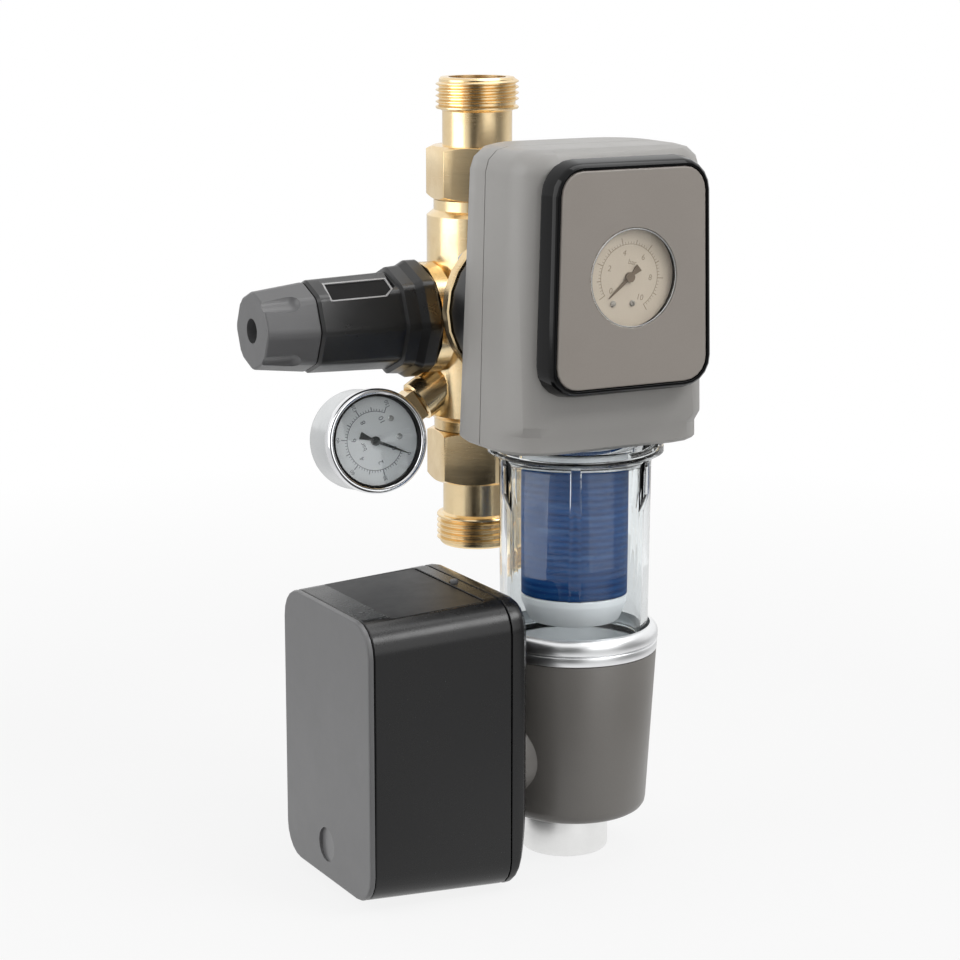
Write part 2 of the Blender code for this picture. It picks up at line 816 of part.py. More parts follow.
def make_reducer_piston(brass):
    """Head in the bonnet's bore, stem through the seat and the valve disc behind it."""
    near = piston_near()
    far = near + PISTON_HEAD_LENGTH
    stem = 2.5 * mm
    disc_far = seat_lip() - PISTON_STROKE - GAP / 2
    disc_near = disc_far - 4.5 * mm
    groove = 1.8 * mm
    middle = (near + far) / 2
    return turned(
        "reducer_piston",
        [
            (0.0, disc_near),
            (VALVE_SEAT_BORE + 2 * mm, disc_near),
            (VALVE_SEAT_BORE + 2 * mm, disc_far),
            (stem, disc_far),
            (stem, near),
            (PISTON_HEAD_RADIUS, near),
            (PISTON_HEAD_RADIUS, middle - groove / 2),
            (PISTON_HEAD_RADIUS - groove, middle - groove / 2),
            (PISTON_HEAD_RADIUS - groove, middle + groove / 2),
            (PISTON_HEAD_RADIUS, middle + groove / 2),
            (PISTON_HEAD_RADIUS, far),
            (0.0, far),
        ],
        brass,
        reducer_place(),
        segments=ROUND,
    )


def make_piston_seal(rubber):
    middle = piston_near() + PISTON_HEAD_LENGTH / 2
    half = 0.9 * mm - GAP / 2
    bore = BONNET_RADIUS - BONNET_WALL
    inner = PISTON_HEAD_RADIUS - 1.8 * mm + GAP
    return ring("piston_seal", inner, bore - GAP, middle - half, middle + half, rubber, reducer_place())


def seat_lip():
    return 4.5 * mm


def make_valve_seat(brass):
    """The ring that the valve disc closes against, pressed into the chamber."""
    near = seat_lip() + 1 * mm
    return turned(
        "reducer_seat",
        [
            (VALVE_SEAT_BORE, near),
            (VALVE_SEAT_BORE + 1 * mm, near - 1 * mm),
            (CHAMBER_RADIUS - GAP, near - 1 * mm),
            (CHAMBER_RADIUS - GAP, near + 3 * mm),
            (VALVE_SEAT_BORE, near + 3 * mm),
        ],
        brass,
        reducer_place(),
        segments=ROUND,
    )


def make_reducer_spring(steel):
    """A coil from the piston to the spring plate, swept round a helix."""
    low = piston_near() + PISTON_HEAD_LENGTH + SPRING_WIRE + GAP
    high = plate_near() - SPRING_WIRE - GAP
    steps = SPRING_TURNS * 10
    curve = bpy.data.curves.new("reducer_spring", "CURVE")
    curve.dimensions = "3D"
    curve.bevel_depth = SPRING_WIRE
    curve.bevel_resolution = 0
    curve.use_fill_caps = True
    spline = curve.splines.new("POLY")
    spline.points.add(steps)
    for i, point in enumerate(spline.points):
        angle = 2 * math.pi * SPRING_TURNS * i / steps
        x = SPRING_RADIUS * math.cos(angle)
        y = SPRING_RADIUS * math.sin(angle)
        point.co = (x, y, low + (high - low) * i / steps, 1.0)
    curve.materials.append(steel)
    spring = bpy.data.objects.new("reducer_spring", curve)
    bpy.context.scene.collection.objects.link(spring)
    spring.matrix_world = reducer_place()
    return spring


# Outlet gauge: its stem points up and right into the boss


def gauge_place(distance):
    """A place on the stem's axis, at a distance from the run's axis, with +Z pointing outwards."""
    turn = Matrix.Rotation(math.radians(-90) - GAUGE_ANGLE, 4, "Y")
    return Matrix.Translation((0.0, 0.0, GAUGE_FOOT_Z)) @ turn @ Matrix.Translation((0.0, 0.0, distance))


def gauge_face_place():
    """The gauge's own place: local +Z looks out of the dial and local -Y points along the stem."""
    stem = gauge_place(GAUGE_DISTANCE)
    return stem @ Matrix.Rotation(GAUGE_TURN, 4, "Z") @ Matrix.Rotation(math.radians(90), 4, "X")


def make_outlet_gauge(steel, chrome, white, black, clear, brass):
    place = gauge_face_place()
    back = -GAUGE_DEPTH / 2
    front = GAUGE_DEPTH / 2
    inner = GAUGE_RADIUS - GAUGE_WALL
    seat = front - BEZEL_LENGTH
    dial_z = front - 4.2 * mm
    case = turned(
        "outlet_gauge_case",
        [
            (0.0, back),
            (GAUGE_RADIUS - 2.2 * mm, back),
            (GAUGE_RADIUS - 0.6 * mm, back + 1.4 * mm),
            (GAUGE_RADIUS - 0.6 * mm, seat - GAP),
            (GAUGE_RADIUS - 1.4 * mm, seat - GAP),
            (GAUGE_RADIUS - 1.4 * mm, dial_z - GAP - DIAL_THICKNESS),
            (inner - 2 * mm, dial_z - GAP - DIAL_THICKNESS),
            (inner - 2 * mm, back + 1.6 * mm),
            (0.0, back + 1.6 * mm),
        ],
        steel,
        place,
        segments=FINE,
    )
    bezel = turned(
        "outlet_gauge_bezel",
        [
            (GAUGE_RADIUS - 1.4 * mm + GAP, seat),
            (GAUGE_RADIUS, seat),
            (GAUGE_RADIUS, front - 1.2 * mm),
            (GAUGE_RADIUS - 1.2 * mm, front),
            (GAUGE_RADIUS - BEZEL_LIP, front - 0.4 * mm),
            (GAUGE_RADIUS - BEZEL_LIP, front - 1.2 * mm),
            (GAUGE_RADIUS - 1.4 * mm + GAP, front - 1.2 * mm),
        ],
        chrome,
        place,
        segments=FINE,
    )
    dial = ring(
        "outlet_gauge_dial",
        1 * mm,
        GAUGE_RADIUS - 1.4 * mm - GAP,
        dial_z - DIAL_THICKNESS,
        dial_z,
        white,
        place,
    )
    glass = rod(
        "outlet_gauge_glass",
        GAUGE_RADIUS - 1.4 * mm,
        front - 1.2 * mm - GAP - 1 * mm,
        front - 1.2 * mm - GAP,
        clear,
        place,
        segments=FINE,
    )
    needle = make_needle("outlet_gauge_needle", black, place, dial_z, 15 * mm, OUTLET_NEEDLE_REST)
    flats = STEM_FLATS / 2 / math.cos(math.pi / 4)
    stem = rod(
        "outlet_gauge_stem", STEM_RADIUS, BOSS_END - 11 * mm, GAUGE_DISTANCE - 11 * mm, brass, gauge_place(0.0), SMALL
    )
    square_near = BOSS_END + GAP
    square_far = GAUGE_DISTANCE - GAUGE_RADIUS - GAP
    square = make_object(
        "stem_square_form",
        skin_sections(
            [
                polygon(flats, 4, square_near, math.pi / 4 + GAUGE_TURN),
                polygon(flats, 4, square_far, math.pi / 4 + GAUGE_TURN),
            ]
        ),
        None,
        gauge_place(0.0),
    )
    join(stem, square, make_bourdon("outlet_tube_form", place, -STEM_RADIUS - 0.6 * mm))
    cut(stem, rod("stem_bore", 1.5 * mm, 0.0, GAUGE_DISTANCE, place=gauge_place(0.0), segments=TINY))
    stem_hole = rod("case_stem_hole", STEM_RADIUS + GAP, 0.0, GAUGE_DISTANCE - 15 * mm, place=gauge_place(0.0), segments=SMALL)
    cut(case, stem_hole)
    return needle


def make_needle(name, material, place, dial_z, length, angle):
    """A tapered pointer with a round hub and a wide tail, lying just above the dial."""
    low = dial_z + GAP
    high = low + NEEDLE_THICKNESS
    tail = length * 0.45
    shape = [
        (-tail, -1.5 * mm),
        (-tail * 0.4, -0.7 * mm),
        (length * 0.5, -0.5 * mm),
        (length, -0.12 * mm),
        (length, 0.12 * mm),
        (length * 0.5, 0.5 * mm),
        (-tail * 0.4, 0.7 * mm),
        (-tail, 1.5 * mm),
    ]
    blade = skin_sections([[(x, y, low) for x, y in shape], [(x, y, high) for x, y in shape]])
    needle = make_object(name, blade, material, place @ Matrix.Rotation(angle, 4, "Z"), smooth=False)
    hub = rod(
        name + "_hub_form", 1.9 * mm, low - 0.1 * mm, high + 0.5 * mm, place=needle.matrix_world, segments=SMALL
    )
    spindle = rod(
        name + "_spindle_form",
        0.6 * mm,
        dial_z - DIAL_THICKNESS - 1.5 * mm,
        high,
        place=needle.matrix_world,
        segments=TINY,
    )
    join(needle, hub, spindle)
    return needle


def make_bourdon(name, place, height):
    """The curved tube that unbends with pressure and turns the needle."""
    tube = 1.7 * mm
    radius = 12.5 * mm
    start = math.radians(-100)
    bm = bmesh.new()
    bmesh.ops.create_circle(
        bm,
        cap_ends=True,
        segments=6,
        radius=tube,
        matrix=Matrix.Translation((radius, 0, height)) @ Matrix.Rotation(math.pi / 2, 4, "X"),
    )
    bmesh.ops.rotate(bm, cent=(0, 0, 0), matrix=Matrix.Rotation(start, 3, "Z"), verts=bm.verts)
    first = bm.faces[:]
    bmesh.ops.spin(
        bm,
        geom=first,
        cent=(0.0, 0.0, 0.0),
        axis=(0.0, 0.0, 1.0),
        angle=math.radians(250),
        steps=12,
        use_duplicate=False,
    )
    return make_object(name, bm, None, place)


# Filter head: core that seals on the flange, two shells, panel and inlet gauge


def bolt_angles():
    return [math.radians(45 + 90 * i) for i in range(4)]


def bolt_holes(name):
    """Cutter for the four flange bolts, as separate rods in one object."""
    start = -FLANGE_FACE_Y - FLANGE_THICKNESS - 1.5 * mm
    bm = bmesh.new()
    for angle in bolt_angles():
        hole = turned_bmesh(rod_outline(BOLT_RADIUS + GAP, start, -FLANGE_FACE_Y + BOLT_LENGTH), TINY)
        shift = (BOLT_CIRCLE * math.cos(angle), BOLT_CIRCLE * math.sin(angle), 0.0)
        bmesh.ops.translate(hole, vec=shift, verts=hole.verts)
        merged(bm, hole)
    return make_object(name, bm, None, spot(z=FLANGE_HEIGHT, turn=TO_FRONT))


def make_flange_bolts(steel):
    back = -FLANGE_FACE_Y - FLANGE_THICKNESS
    head = back - GAP - BOLT_HEAD_HEIGHT
    for i, angle in enumerate(bolt_angles()):
        across = Matrix.Translation((BOLT_CIRCLE * math.cos(angle), BOLT_CIRCLE * math.sin(angle), 0.0))
        turned(
            f"flange_bolt_{i + 1}",
            [
                (0.0, head + 2.5 * mm),
                (2 * mm, head + 2.5 * mm),
                (2 * mm, head),
                (BOLT_HEAD_RADIUS, head),
                (BOLT_HEAD_RADIUS, back - GAP),
                (BOLT_RADIUS, back - GAP),
                (BOLT_RADIUS, back + BOLT_LENGTH),
                (0.0, back + BOLT_LENGTH),
            ],
            steel,
            spot(z=FLANGE_HEIGHT, turn=TO_FRONT) @ across,
            segments=SMALL,
        )


def core_face():
    return -FLANGE_FACE_Y + GASKET_THICKNESS + 2 * GAP


def make_flange_gasket(rubber):
    near = -FLANGE_FACE_Y + GAP
    place = spot(z=FLANGE_HEIGHT, turn=TO_FRONT)
    gasket = ring(
        "flange_gasket",
        PORT_SPACING / 2 + PORT_RADIUS + 1 * mm,
        NECK_RADIUS - 1 * mm,
        near,
        near + GASKET_THICKNESS,
        rubber,
        place,
    )
    cut(gasket, bolt_holes("gasket_bolt_holes"))
    return gasket


def socket_radius():
    return BOWL_NECK_RADIUS + GAP


def core_top():
    return FLANGE_HEIGHT + NECK_RADIUS


def make_head_core(plastic):
    """The pressure part of the head: a neck to the flange and a threaded socket over the bowl."""
    base = SHELL_BOTTOM + 0.8 * mm
    core_radius = socket_radius() + SOCKET_WALL
    socket_top = BOWL_FLANGE_TOP + BOWL_NECK_HEIGHT + 3 * mm
    core = turned(
        "head_core",
        [
            (0.0, base),
            (core_radius, base),
            (core_radius, socket_top + 3 * mm),
            (17 * mm, socket_top + 10 * mm),
            (17 * mm, core_top() - 3 * mm),
            (14 * mm, core_top()),
            (0.0, core_top()),
        ],
        plastic,
        spot(y=BOWL_AXIS_Y),
        segments=FINE,
    )
    neck = turned(
        "head_neck_form",
        [
            (0.0, core_face()),
            (NECK_RADIUS, core_face()),
            (NECK_RADIUS, core_face() + 20 * mm),
            (NECK_RADIUS - 8 * mm, -BOWL_AXIS_Y - 8 * mm),
            (0.0, -BOWL_AXIS_Y - 8 * mm),
        ],
        place=spot(z=FLANGE_HEIGHT, turn=TO_FRONT),
        segments=FINE,
    )
    join(core, neck)
    socket = turned(
        "bowl_socket",
        [
            (0.0, base - 1 * mm),
            (socket_radius(), base - 1 * mm),
            (socket_radius(), socket_top),
            (SCREEN_SPIGOT_RADIUS + GAP, socket_top),
            (SCREEN_SPIGOT_RADIUS + GAP, socket_top + 4 * mm + GAP),
            (0.0, socket_top + 4 * mm + GAP),
        ],
        place=spot(y=BOWL_AXIS_Y),
        segments=FINE,
    )
    high = FLANGE_HEIGHT + PORT_SPACING / 2
    low = FLANGE_HEIGHT - PORT_SPACING / 2
    inlet_way = rod(
        "core_inlet_way", PORT_RADIUS, 30 * mm, -BOWL_AXIS_Y, place=spot(z=high, turn=TO_FRONT), segments=SMALL
    )
    down_way = rod("core_down_way", PORT_RADIUS, socket_top, high + PORT_RADIUS, place=spot(y=BOWL_AXIS_Y), segments=SMALL)
    outlet_way = rod(
        "core_outlet_way",
        PORT_RADIUS,
        30 * mm,
        -BOWL_AXIS_Y - 17 * mm,
        place=spot(z=low, turn=TO_FRONT),
        segments=SMALL,
    )
    drop_way = rod(
        "core_drop_way",
        3 * mm,
        socket_top - 1 * mm,
        low,
        place=spot(y=BOWL_AXIS_Y + 17 * mm),
        segments=TINY,
    )
    gauge_way = rod(
        "core_gauge_way",
        INLET_STEM_RADIUS + GAP,
        -BOWL_AXIS_Y + 8 * mm,
        -BOWL_AXIS_Y + 20 * mm,
        place=spot(z=PANEL_CENTRE_Z, turn=TO_FRONT),
        segments=SMALL,
    )
    cut(core, socket, inlet_way, down_way, outlet_way, drop_way, gauge_way, bolt_holes("core_bolt_holes"))
    return core


def shell_section(z, inset, collar=0.0):
    """The head's outline at one height, from its back round to its front, pulled in by an inset."""
    rise = z - SHELL_BOTTOM
    half = SHELL_HALF_WIDTH - rise * math.tan(SHELL_TAPER) - inset
    back = SHELL_BACK_Y - rise * math.tan(SHELL_BACK_LEAN) - inset
    front = SHELL_FRONT_Y + inset + collar
    back_corner = max(SHELL_BACK_CORNER - inset, 2 * mm)
    front_corner = max(SHELL_FRONT_CORNER - inset + 2 * collar, 2 * mm)
    steps = 4
    quarter = math.pi / 2
    points = []
    corners = (
        (half - back_corner, back - back_corner, back_corner),
        (-half + back_corner, back - back_corner, back_corner),
        (-half + front_corner, front + front_corner, front_corner),
        (half - front_corner, front + front_corner, front_corner),
    )
    for k, (x, y, corner) in enumerate(corners):
        for i in range(steps + 1):
            angle = k * quarter + quarter * i / steps
            points.append((x + corner * math.cos(angle), y + corner * math.sin(angle), z))
    return points


def shell_form(name, inset, with_collar, material=None):
    """The head's solid form: tapered sides, a stepped collar at the front and a crowned top."""
    low = SHELL_BOTTOM + inset
    top = SHELL_TOP - inset
    collar = COLLAR_INSET if with_collar else 0.0
    step = SHELL_BOTTOM + COLLAR_HEIGHT
    sections = [
        shell_section(low, inset + 1.2 * mm, collar),
        shell_section(low + 1.2 * mm, inset, collar),
        shell_section(step, inset, collar),
        shell_section(step + 4 * mm, inset),
    ]
    crown = 9 * mm
    for i in range(4):
        angle = math.pi / 2 * i / 3
        sections.append(
            shell_section(top - crown + crown * math.sin(angle), inset + crown * (1 - math.cos(angle)))
        )
    return make_object(name, skin_sections(sections), material, UPRIGHT)


def make_head_shells(plastic):
    rear = shell_form("head_rear_shell", 0.0, False, plastic)
    front = shell_form("head_front_cover", 0.0, True, plastic)
    far = 200 * mm
    seam = SHELL_SEAM_Y
    keep(rear, block("rear_half", (-far, far), (seam + GAP / 2, far), (-far, far)))
    keep(front, block("front_half", (-far, far), (-far, seam - GAP / 2), (-far, far)))
    cut(rear, shell_form("rear_hollow", SHELL_WALL, False))
    cut(front, shell_form("front_hollow", SHELL_WALL, True))
    core_radius = socket_radius() + SOCKET_WALL
    for shell, name in ((rear, "rear"), (front, "front")):
        cut(
            shell,
            rod(
                name + "_bowl_hole",
                core_radius + GAP,
                SHELL_BOTTOM - 5 * mm,
                SHELL_BOTTOM + 12 * mm,
                place=spot(y=BOWL_AXIS_Y),
                segments=FINE,
            ),
        )
    cut(
        rear,
        rod("neck_hole", NECK_RADIUS + GAP, 40 * mm, 70 * mm, place=spot(z=FLANGE_HEIGHT, turn=TO_FRONT), segments=FINE),
    )
    opening = round_rectangle(INLET_CASE_RADIUS + 1.5 * mm, INLET_CASE_RADIUS + 1.5 * mm, 4 * mm)
    sections = [[(x, y, depth) for x, y, _ in opening] for depth in (100 * mm, 120 * mm)]
    cut(front, make_object("gauge_opening", skin_sections(sections), None, spot(z=PANEL_CENTRE_Z, turn=TO_FRONT)))
    return rear, front


def panel_outline(grow, depth, drop=0.0):
    """The panel's outline, a little wider at the bottom, grown all round and dropped at the bottom."""
    points = round_rectangle(
        PANEL_HALF_WIDTH + grow, PANEL_HALF_HEIGHT + grow, PANEL_CORNER + grow, depth, 5
    )
    shaped = []
    for x, y, z in points:
        taper = 1.0 - math.tan(SHELL_TAPER) * y / PANEL_HALF_WIDTH
        lowered = y - drop if y < 0 else y
        shaped.append((x * taper, lowered, z))
    return shaped


def make_panel_frame(gloss):
    """The deep black surround: a narrow rim, a bevel and sides that spread to the cover."""
    back = -SHELL_FRONT_Y + GAP
    front = back + FRAME_DEPTH
    seat = front - PANEL_THICKNESS - GAP
    sections = [
        panel_outline(FRAME_FLARE, back),
        panel_outline(FRAME_FLARE, back + 1 * mm),
        panel_outline(FRAME_RIM + 1.6 * mm, front - 2.4 * mm),
        panel_outline(FRAME_RIM + 0.9 * mm, front - 0.8 * mm),
        panel_outline(FRAME_RIM, front),
    ]
    place = spot(z=PANEL_CENTRE_Z, turn=TO_FRONT)
    frame = make_object("panel_frame", skin_sections(sections), gloss, place)
    recess = [panel_outline(GAP, seat), panel_outline(GAP, front + 1 * mm)]
    opening = [panel_outline(-FRAME_WALL, back - 1 * mm), panel_outline(-FRAME_WALL, seat + 1 * mm)]
    cut(
        frame,
        make_object("panel_recess", skin_sections(recess), None, place),
        make_object("frame_opening", skin_sections(opening), None, place),
    )
    return frame


def panel_front():
    return -SHELL_FRONT_Y + GAP + FRAME_DEPTH


def make_front_panel(plastic):
    front = panel_front()
    place = spot(z=PANEL_CENTRE_Z, turn=TO_FRONT)
    edge = 0.5 * mm
    sections = [
        panel_outline(0.0, front - PANEL_THICKNESS),
        panel_outline(0.0, front - edge),
        panel_outline(-edge, front),
    ]
    panel = make_object("front_panel", skin_sections(sections), plastic, place)
    hole = rod(
        "window_hole", WINDOW_RADIUS, front - 5 * mm, front + 2 * mm, place=place, segments=FINE
    )
    cut(panel, hole)
    return panel


def make_inlet_gauge(black, white, clear, brass):
    """The gauge behind the window: lens, dial, needle, case and the stem to the core."""
    place = spot(z=PANEL_CENTRE_Z, turn=TO_FRONT)
    front = panel_front()
    lens_back = front - LENS_THICKNESS
    case_front = front - PANEL_THICKNESS - GAP
    case_back = case_front - INLET_CASE_DEPTH
    dial_z = case_front - 1.6 * mm
    wall = 1.2 * mm
    lens = rod(
        "window_lens", WINDOW_RADIUS - GAP, lens_back, front - 0.1 * mm, clear, place, segments=FINE
    )
    case = turned(
        "inlet_gauge_case",
        [
            (INLET_STEM_RADIUS + GAP, case_back),
            (INLET_CASE_RADIUS, case_back),
            (INLET_CASE_RADIUS, case_front),
            (INLET_CASE_RADIUS - wall, case_front),
            (INLET_CASE_RADIUS - wall, dial_z - DIAL_THICKNESS - GAP),
            (INLET_CASE_RADIUS - wall - 1.5 * mm, dial_z - DIAL_THICKNESS - GAP),
            (INLET_CASE_RADIUS - wall - 1.5 * mm, case_back + wall),
            (INLET_STEM_RADIUS + GAP, case_back + wall),
        ],
        black,
        place,
        segments=FINE,
    )
    dial = ring(
        "inlet_gauge_dial",
        1 * mm,
        INLET_CASE_RADIUS - wall - GAP,
        dial_z - DIAL_THICKNESS,
        dial_z,
        white,
        place,
    )
    needle = make_needle("inlet_gauge_needle", black, place, dial_z, 11.5 * mm, INLET_NEEDLE_REST)
    tube_z = case_back + 4.6 * mm
    stem = turned(
        "inlet_gauge_stem",
        [
            (1.2 * mm, -BOWL_AXIS_Y + 12 * mm),
            (INLET_STEM_RADIUS, -BOWL_AXIS_Y + 12 * mm),
            (INLET_STEM_RADIUS, case_back - 3 * mm),
            (INLET_STEM_RADIUS + 2 * mm, case_back - 3 * mm),
            (INLET_STEM_RADIUS + 2 * mm, case_back - GAP),
            (INLET_STEM_RADIUS, case_back - GAP),
            (INLET_STEM_RADIUS, case_back + 2.4 * mm),
            (1.2 * mm, case_back + 2.4 * mm),
        ],
        brass,
        place,
        segments=SMALL,
    )
    block_form = block(
        "tube_block_form",
        (-2.5 * mm, 2.5 * mm),
        (-13 * mm, 3 * mm),
        (case_back + 1.8 * mm, tube_z + 1 * mm),
        place=place,
    )
    join(stem, block_form, make_bourdon("inlet_tube_form", place, tube_z))
    return needle


# Bowl and screen


def make_bowl(clear):
    flange_base = BOWL_FLANGE_TOP - BOWL_FLANGE_THICKNESS
    inner = BOWL_NECK_RADIUS - BOWL_WALL
    bowl = turned(
        "filter_bowl",
        [
            (inner, BOWL_FLANGE_TOP + BOWL_NECK_HEIGHT),
            (BOWL_NECK_RADIUS, BOWL_FLANGE_TOP + BOWL_NECK_HEIGHT),
            (BOWL_NECK_RADIUS, BOWL_FLANGE_TOP),
            (BOWL_FLANGE_RADIUS, BOWL_FLANGE_TOP),
            (BOWL_FLANGE_RADIUS, flange_base),
            (BOWL_RADIUS + 1.6 * mm, flange_base - 1.4 * mm),
            (BOWL_RADIUS, flange_base - 3.4 * mm),
            (BOWL_BASE_RADIUS, BOWL_BASE),
            (BOWL_BASE_RADIUS - BOWL_WALL, BOWL_BASE),
            (BOWL_RADIUS - BOWL_WALL, flange_base - 3.4 * mm),
            (inner, flange_base),
        ],
        clear,
        spot(y=BOWL_AXIS_Y),
        segments=FINE,
    )
    for i in range(BOWL_RIBS):
        rib = make_rib(f"bowl_rib_{i + 1}", flange_base)
        angle = 2 * math.pi * i / BOWL_RIBS
        rib.matrix_world = spot(y=BOWL_AXIS_Y) @ Matrix.Rotation(angle, 4, "Z")
        join(bowl, rib)
    return bowl


def make_rib(name, top):
    """One grip rib: flat front, pointed foot, sunk into the bowl's wall."""
    half = BOWL_RIB_WIDTH / 2
    start = BOWL_RADIUS - 1.2 * mm
    end = BOWL_RADIUS + BOWL_RIB_HEIGHT
    low = top - BOWL_RIB_LENGTH
    shape = [(-half, top - 0.6 * mm), (-half, low + 2.5 * mm), (0.0, low), (half, low + 2.5 * mm), (half, top - 0.6 * mm)]
    inner = [(start, y, z) for y, z in shape]
    outer = [(end, y, z) for y, z in shape]
    return make_object(name, skin_sections([inner, outer]), None, UPRIGHT)


def make_bowl_seal(rubber):
    top = BOWL_FLANGE_TOP + BOWL_NECK_HEIGHT + GAP
    return ring(
        "bowl_seal",
        BOWL_NECK_RADIUS - BOWL_WALL,
        BOWL_NECK_RADIUS - 0.4 * mm,
        top,
        top + 2.2 * mm,
        rubber,
        spot(y=BOWL_AXIS_Y),
    )


def make_screen(mesh_blue, white):
    place = spot(y=BOWL_AXIS_Y)
    inner = SCREEN_RADIUS - SCREEN_WALL
    sleeve = ring("screen_sleeve", inner, SCREEN_RADIUS, SCREEN_BASE, SCREEN_TOP, mesh_blue, place, segments=FINE)
    core_radius = inner - GAP
    core = ring("screen_support", core_radius - 3 * mm, core_radius, SCREEN_BASE, SCREEN_TOP, white, place, segments=ROUND)
    window_low = SCREEN_BASE + 5 * mm
    window_high = SCREEN_TOP - 5 * mm
    middle = (window_low + window_high) / 2
    half_gap = 0.32 * 2 * math.pi * core_radius / SUPPORT_BARS
    for i in range(SUPPORT_BARS // 2):
        turn = Matrix.Rotation(math.pi * 2 * i / SUPPORT_BARS, 4, "Z")
        for low, high in ((window_low, middle - 1.5 * mm), (middle + 1.5 * mm, window_high)):
            slot = block(
                f"support_slot_{i + 1}",
                (-core_radius * 2, core_radius * 2),
                (-half_gap, half_gap),
                (low, high),
                place=place @ turn,
            )
            cut(core, slot)
    socket_top = BOWL_FLANGE_TOP + BOWL_NECK_HEIGHT + 3 * mm
    top_cap = turned(
        "screen_top_cap",
        [
            (9 * mm, SCREEN_TOP + GAP),
            (SCREEN_RADIUS, SCREEN_TOP + GAP),
            (SCREEN_RADIUS, SCREEN_TOP + 4 * mm),
            (SCREEN_SPIGOT_RADIUS, SCREEN_TOP + 6 * mm),
            (SCREEN_SPIGOT_RADIUS, socket_top + 4 * mm),
            (9 * mm, socket_top + 4 * mm),
        ],
        white,
        place,
        segments=ROUND,
    )
    low_cap = turned(
        "lower_cap_form",
        [
            (0.0, SCREEN_BASE - GAP - 3 * mm),
            (13 * mm, SCREEN_BASE - GAP - 3 * mm),
            (13 * mm, SCREEN_BASE - SCREEN_CAP_HEIGHT),
            (17.5 * mm, SCREEN_BASE - SCREEN_CAP_HEIGHT),
            (SCREEN_RADIUS, SCREEN_BASE - GAP - 3 * mm),
            (SCREEN_RADIUS, SCREEN_BASE - GAP),
            (core_radius, SCREEN_BASE - GAP),
            (core_radius, SCREEN_BASE + 1 * mm),
            (0.0, SCREEN_BASE + 1 * mm),
        ],
        place=place,
        segments=ROUND,
    )
    join(core, low_cap)
    return [sleeve, core, top_cap]


# Drain: ring, tapered housing, ball valve and nozzle


def ring_radius():
    return BOWL_RADIUS + GAP + RING_WALL


def make_bowl_ring(metal):
    """The polished ring that ties the bowl to the drain housing."""
    inner = BOWL_RADIUS + GAP
    outer = ring_radius()
    low = RING_TOP - RING_HEIGHT
    return turned(
        "bowl_ring",
        [
            (inner, low),
            (outer - 0.4 * mm, low),
            (outer - 0.2 * mm, low + 3.4 * mm),
            (outer - 0.7 * mm, low + 3.9 * mm),
            (outer, low + 4.6 * mm),
            (outer, RING_TOP - 3 * mm),
            (outer - 0.9 * mm, RING_TOP - 1.2 * mm),
            (outer - 2.4 * mm, RING_TOP),
            (inner, RING_TOP),
        ],
        metal,
        spot(y=BOWL_AXIS_Y),
        segments=FINE,
    )


def make_ring_seal(rubber):
    top = BOWL_BASE - GAP
    return ring(
        "ring_seal",
        BOWL_BASE_RADIUS - BOWL_WALL,
        BOWL_BASE_RADIUS - 0.2 * mm,
        top - 2 * mm,
        top,
        rubber,
        spot(y=BOWL_AXIS_Y),
    )


def drain_seal_floor():
    return BOWL_BASE - 2 * GAP - 2 * mm


def seat_inner():
    """How far a seat's near face lies from the flush axis, along the ball's flow."""
    return math.sqrt(BALL_RADIUS**2 - (NOZZLE_BORE + 1.2 * mm) ** 2) + GAP


def side_port_reach():
    """The side port's face, a gap before the actuator's back cover."""
    return -BOX_MOUNT_X - GAP


def make_drain_housing(plastic):
    top = RING_TOP - RING_HEIGHT - GAP
    upper_seat = FLUSH_AXIS_Z + seat_inner() + SEAT_HEIGHT + GAP
    chamber = BALL_RADIUS + 1 * mm
    edge = 4.5 * mm
    outline = [(0.0, DRAIN_BASE), (DRAIN_BASE_RADIUS - edge, DRAIN_BASE)]
    for i in range(1, 5):
        angle = math.pi / 2 * i / 4
        outline.append(
            (
                DRAIN_BASE_RADIUS - edge + edge * math.sin(angle),
                DRAIN_BASE + edge * (1 - math.cos(angle)),
            )
        )
    outline += [
        (ring_radius() - DRAIN_RIM_INSET, top),
        (BOWL_RADIUS, top),
        (BOWL_RADIUS, drain_seal_floor()),
        (0.0, drain_seal_floor()),
    ]
    housing = turned("drain_housing", outline, plastic, spot(y=BOWL_AXIS_Y), segments=FINE)
    funnel = turned(
        "drain_funnel",
        [
            (0.0, upper_seat + 4 * mm),
            (NOZZLE_BORE + VALVE_OFFSET, upper_seat + 4 * mm),
            (BOWL_BASE_RADIUS - BOWL_WALL - 1 * mm, top - 8 * mm),
            (BOWL_BASE_RADIUS - BOWL_WALL - 1 * mm, top + 10 * mm),
            (0.0, top + 10 * mm),
        ],
        place=spot(y=BOWL_AXIS_Y),
        segments=FINE,
    )
    throat = rod("drain_throat", NOZZLE_BORE, upper_seat - 1 * mm, upper_seat + 5 * mm, place=valve_place())
    ball_way = rod("ball_way", chamber, DRAIN_BASE - 1 * mm, upper_seat, place=valve_place())
    port = rod(
        "side_port_form",
        SIDE_PORT_RADIUS,
        18 * mm,
        side_port_reach(),
        place=flush_place(),
        segments=ROUND,
        chamfer=0.0,
    )
    spindle_way = rod("spindle_way", SPINDLE_RADIUS + GAP, 0.0, 60 * mm, place=flush_place(), segments=SMALL)
    seal_way = rod("spindle_seal_way", SPINDLE_RADIUS + 2.6 * mm, side_port_reach() - 6 * mm, 60 * mm, place=flush_place())
    join(housing, port)
    cut(housing, funnel, throat, ball_way, spindle_way, seal_way)
    return housing


def flush_place(distance=0.0):
    return spot(x=-distance, y=BOWL_AXIS_Y, z=FLUSH_AXIS_Z, turn=TO_LEFT)


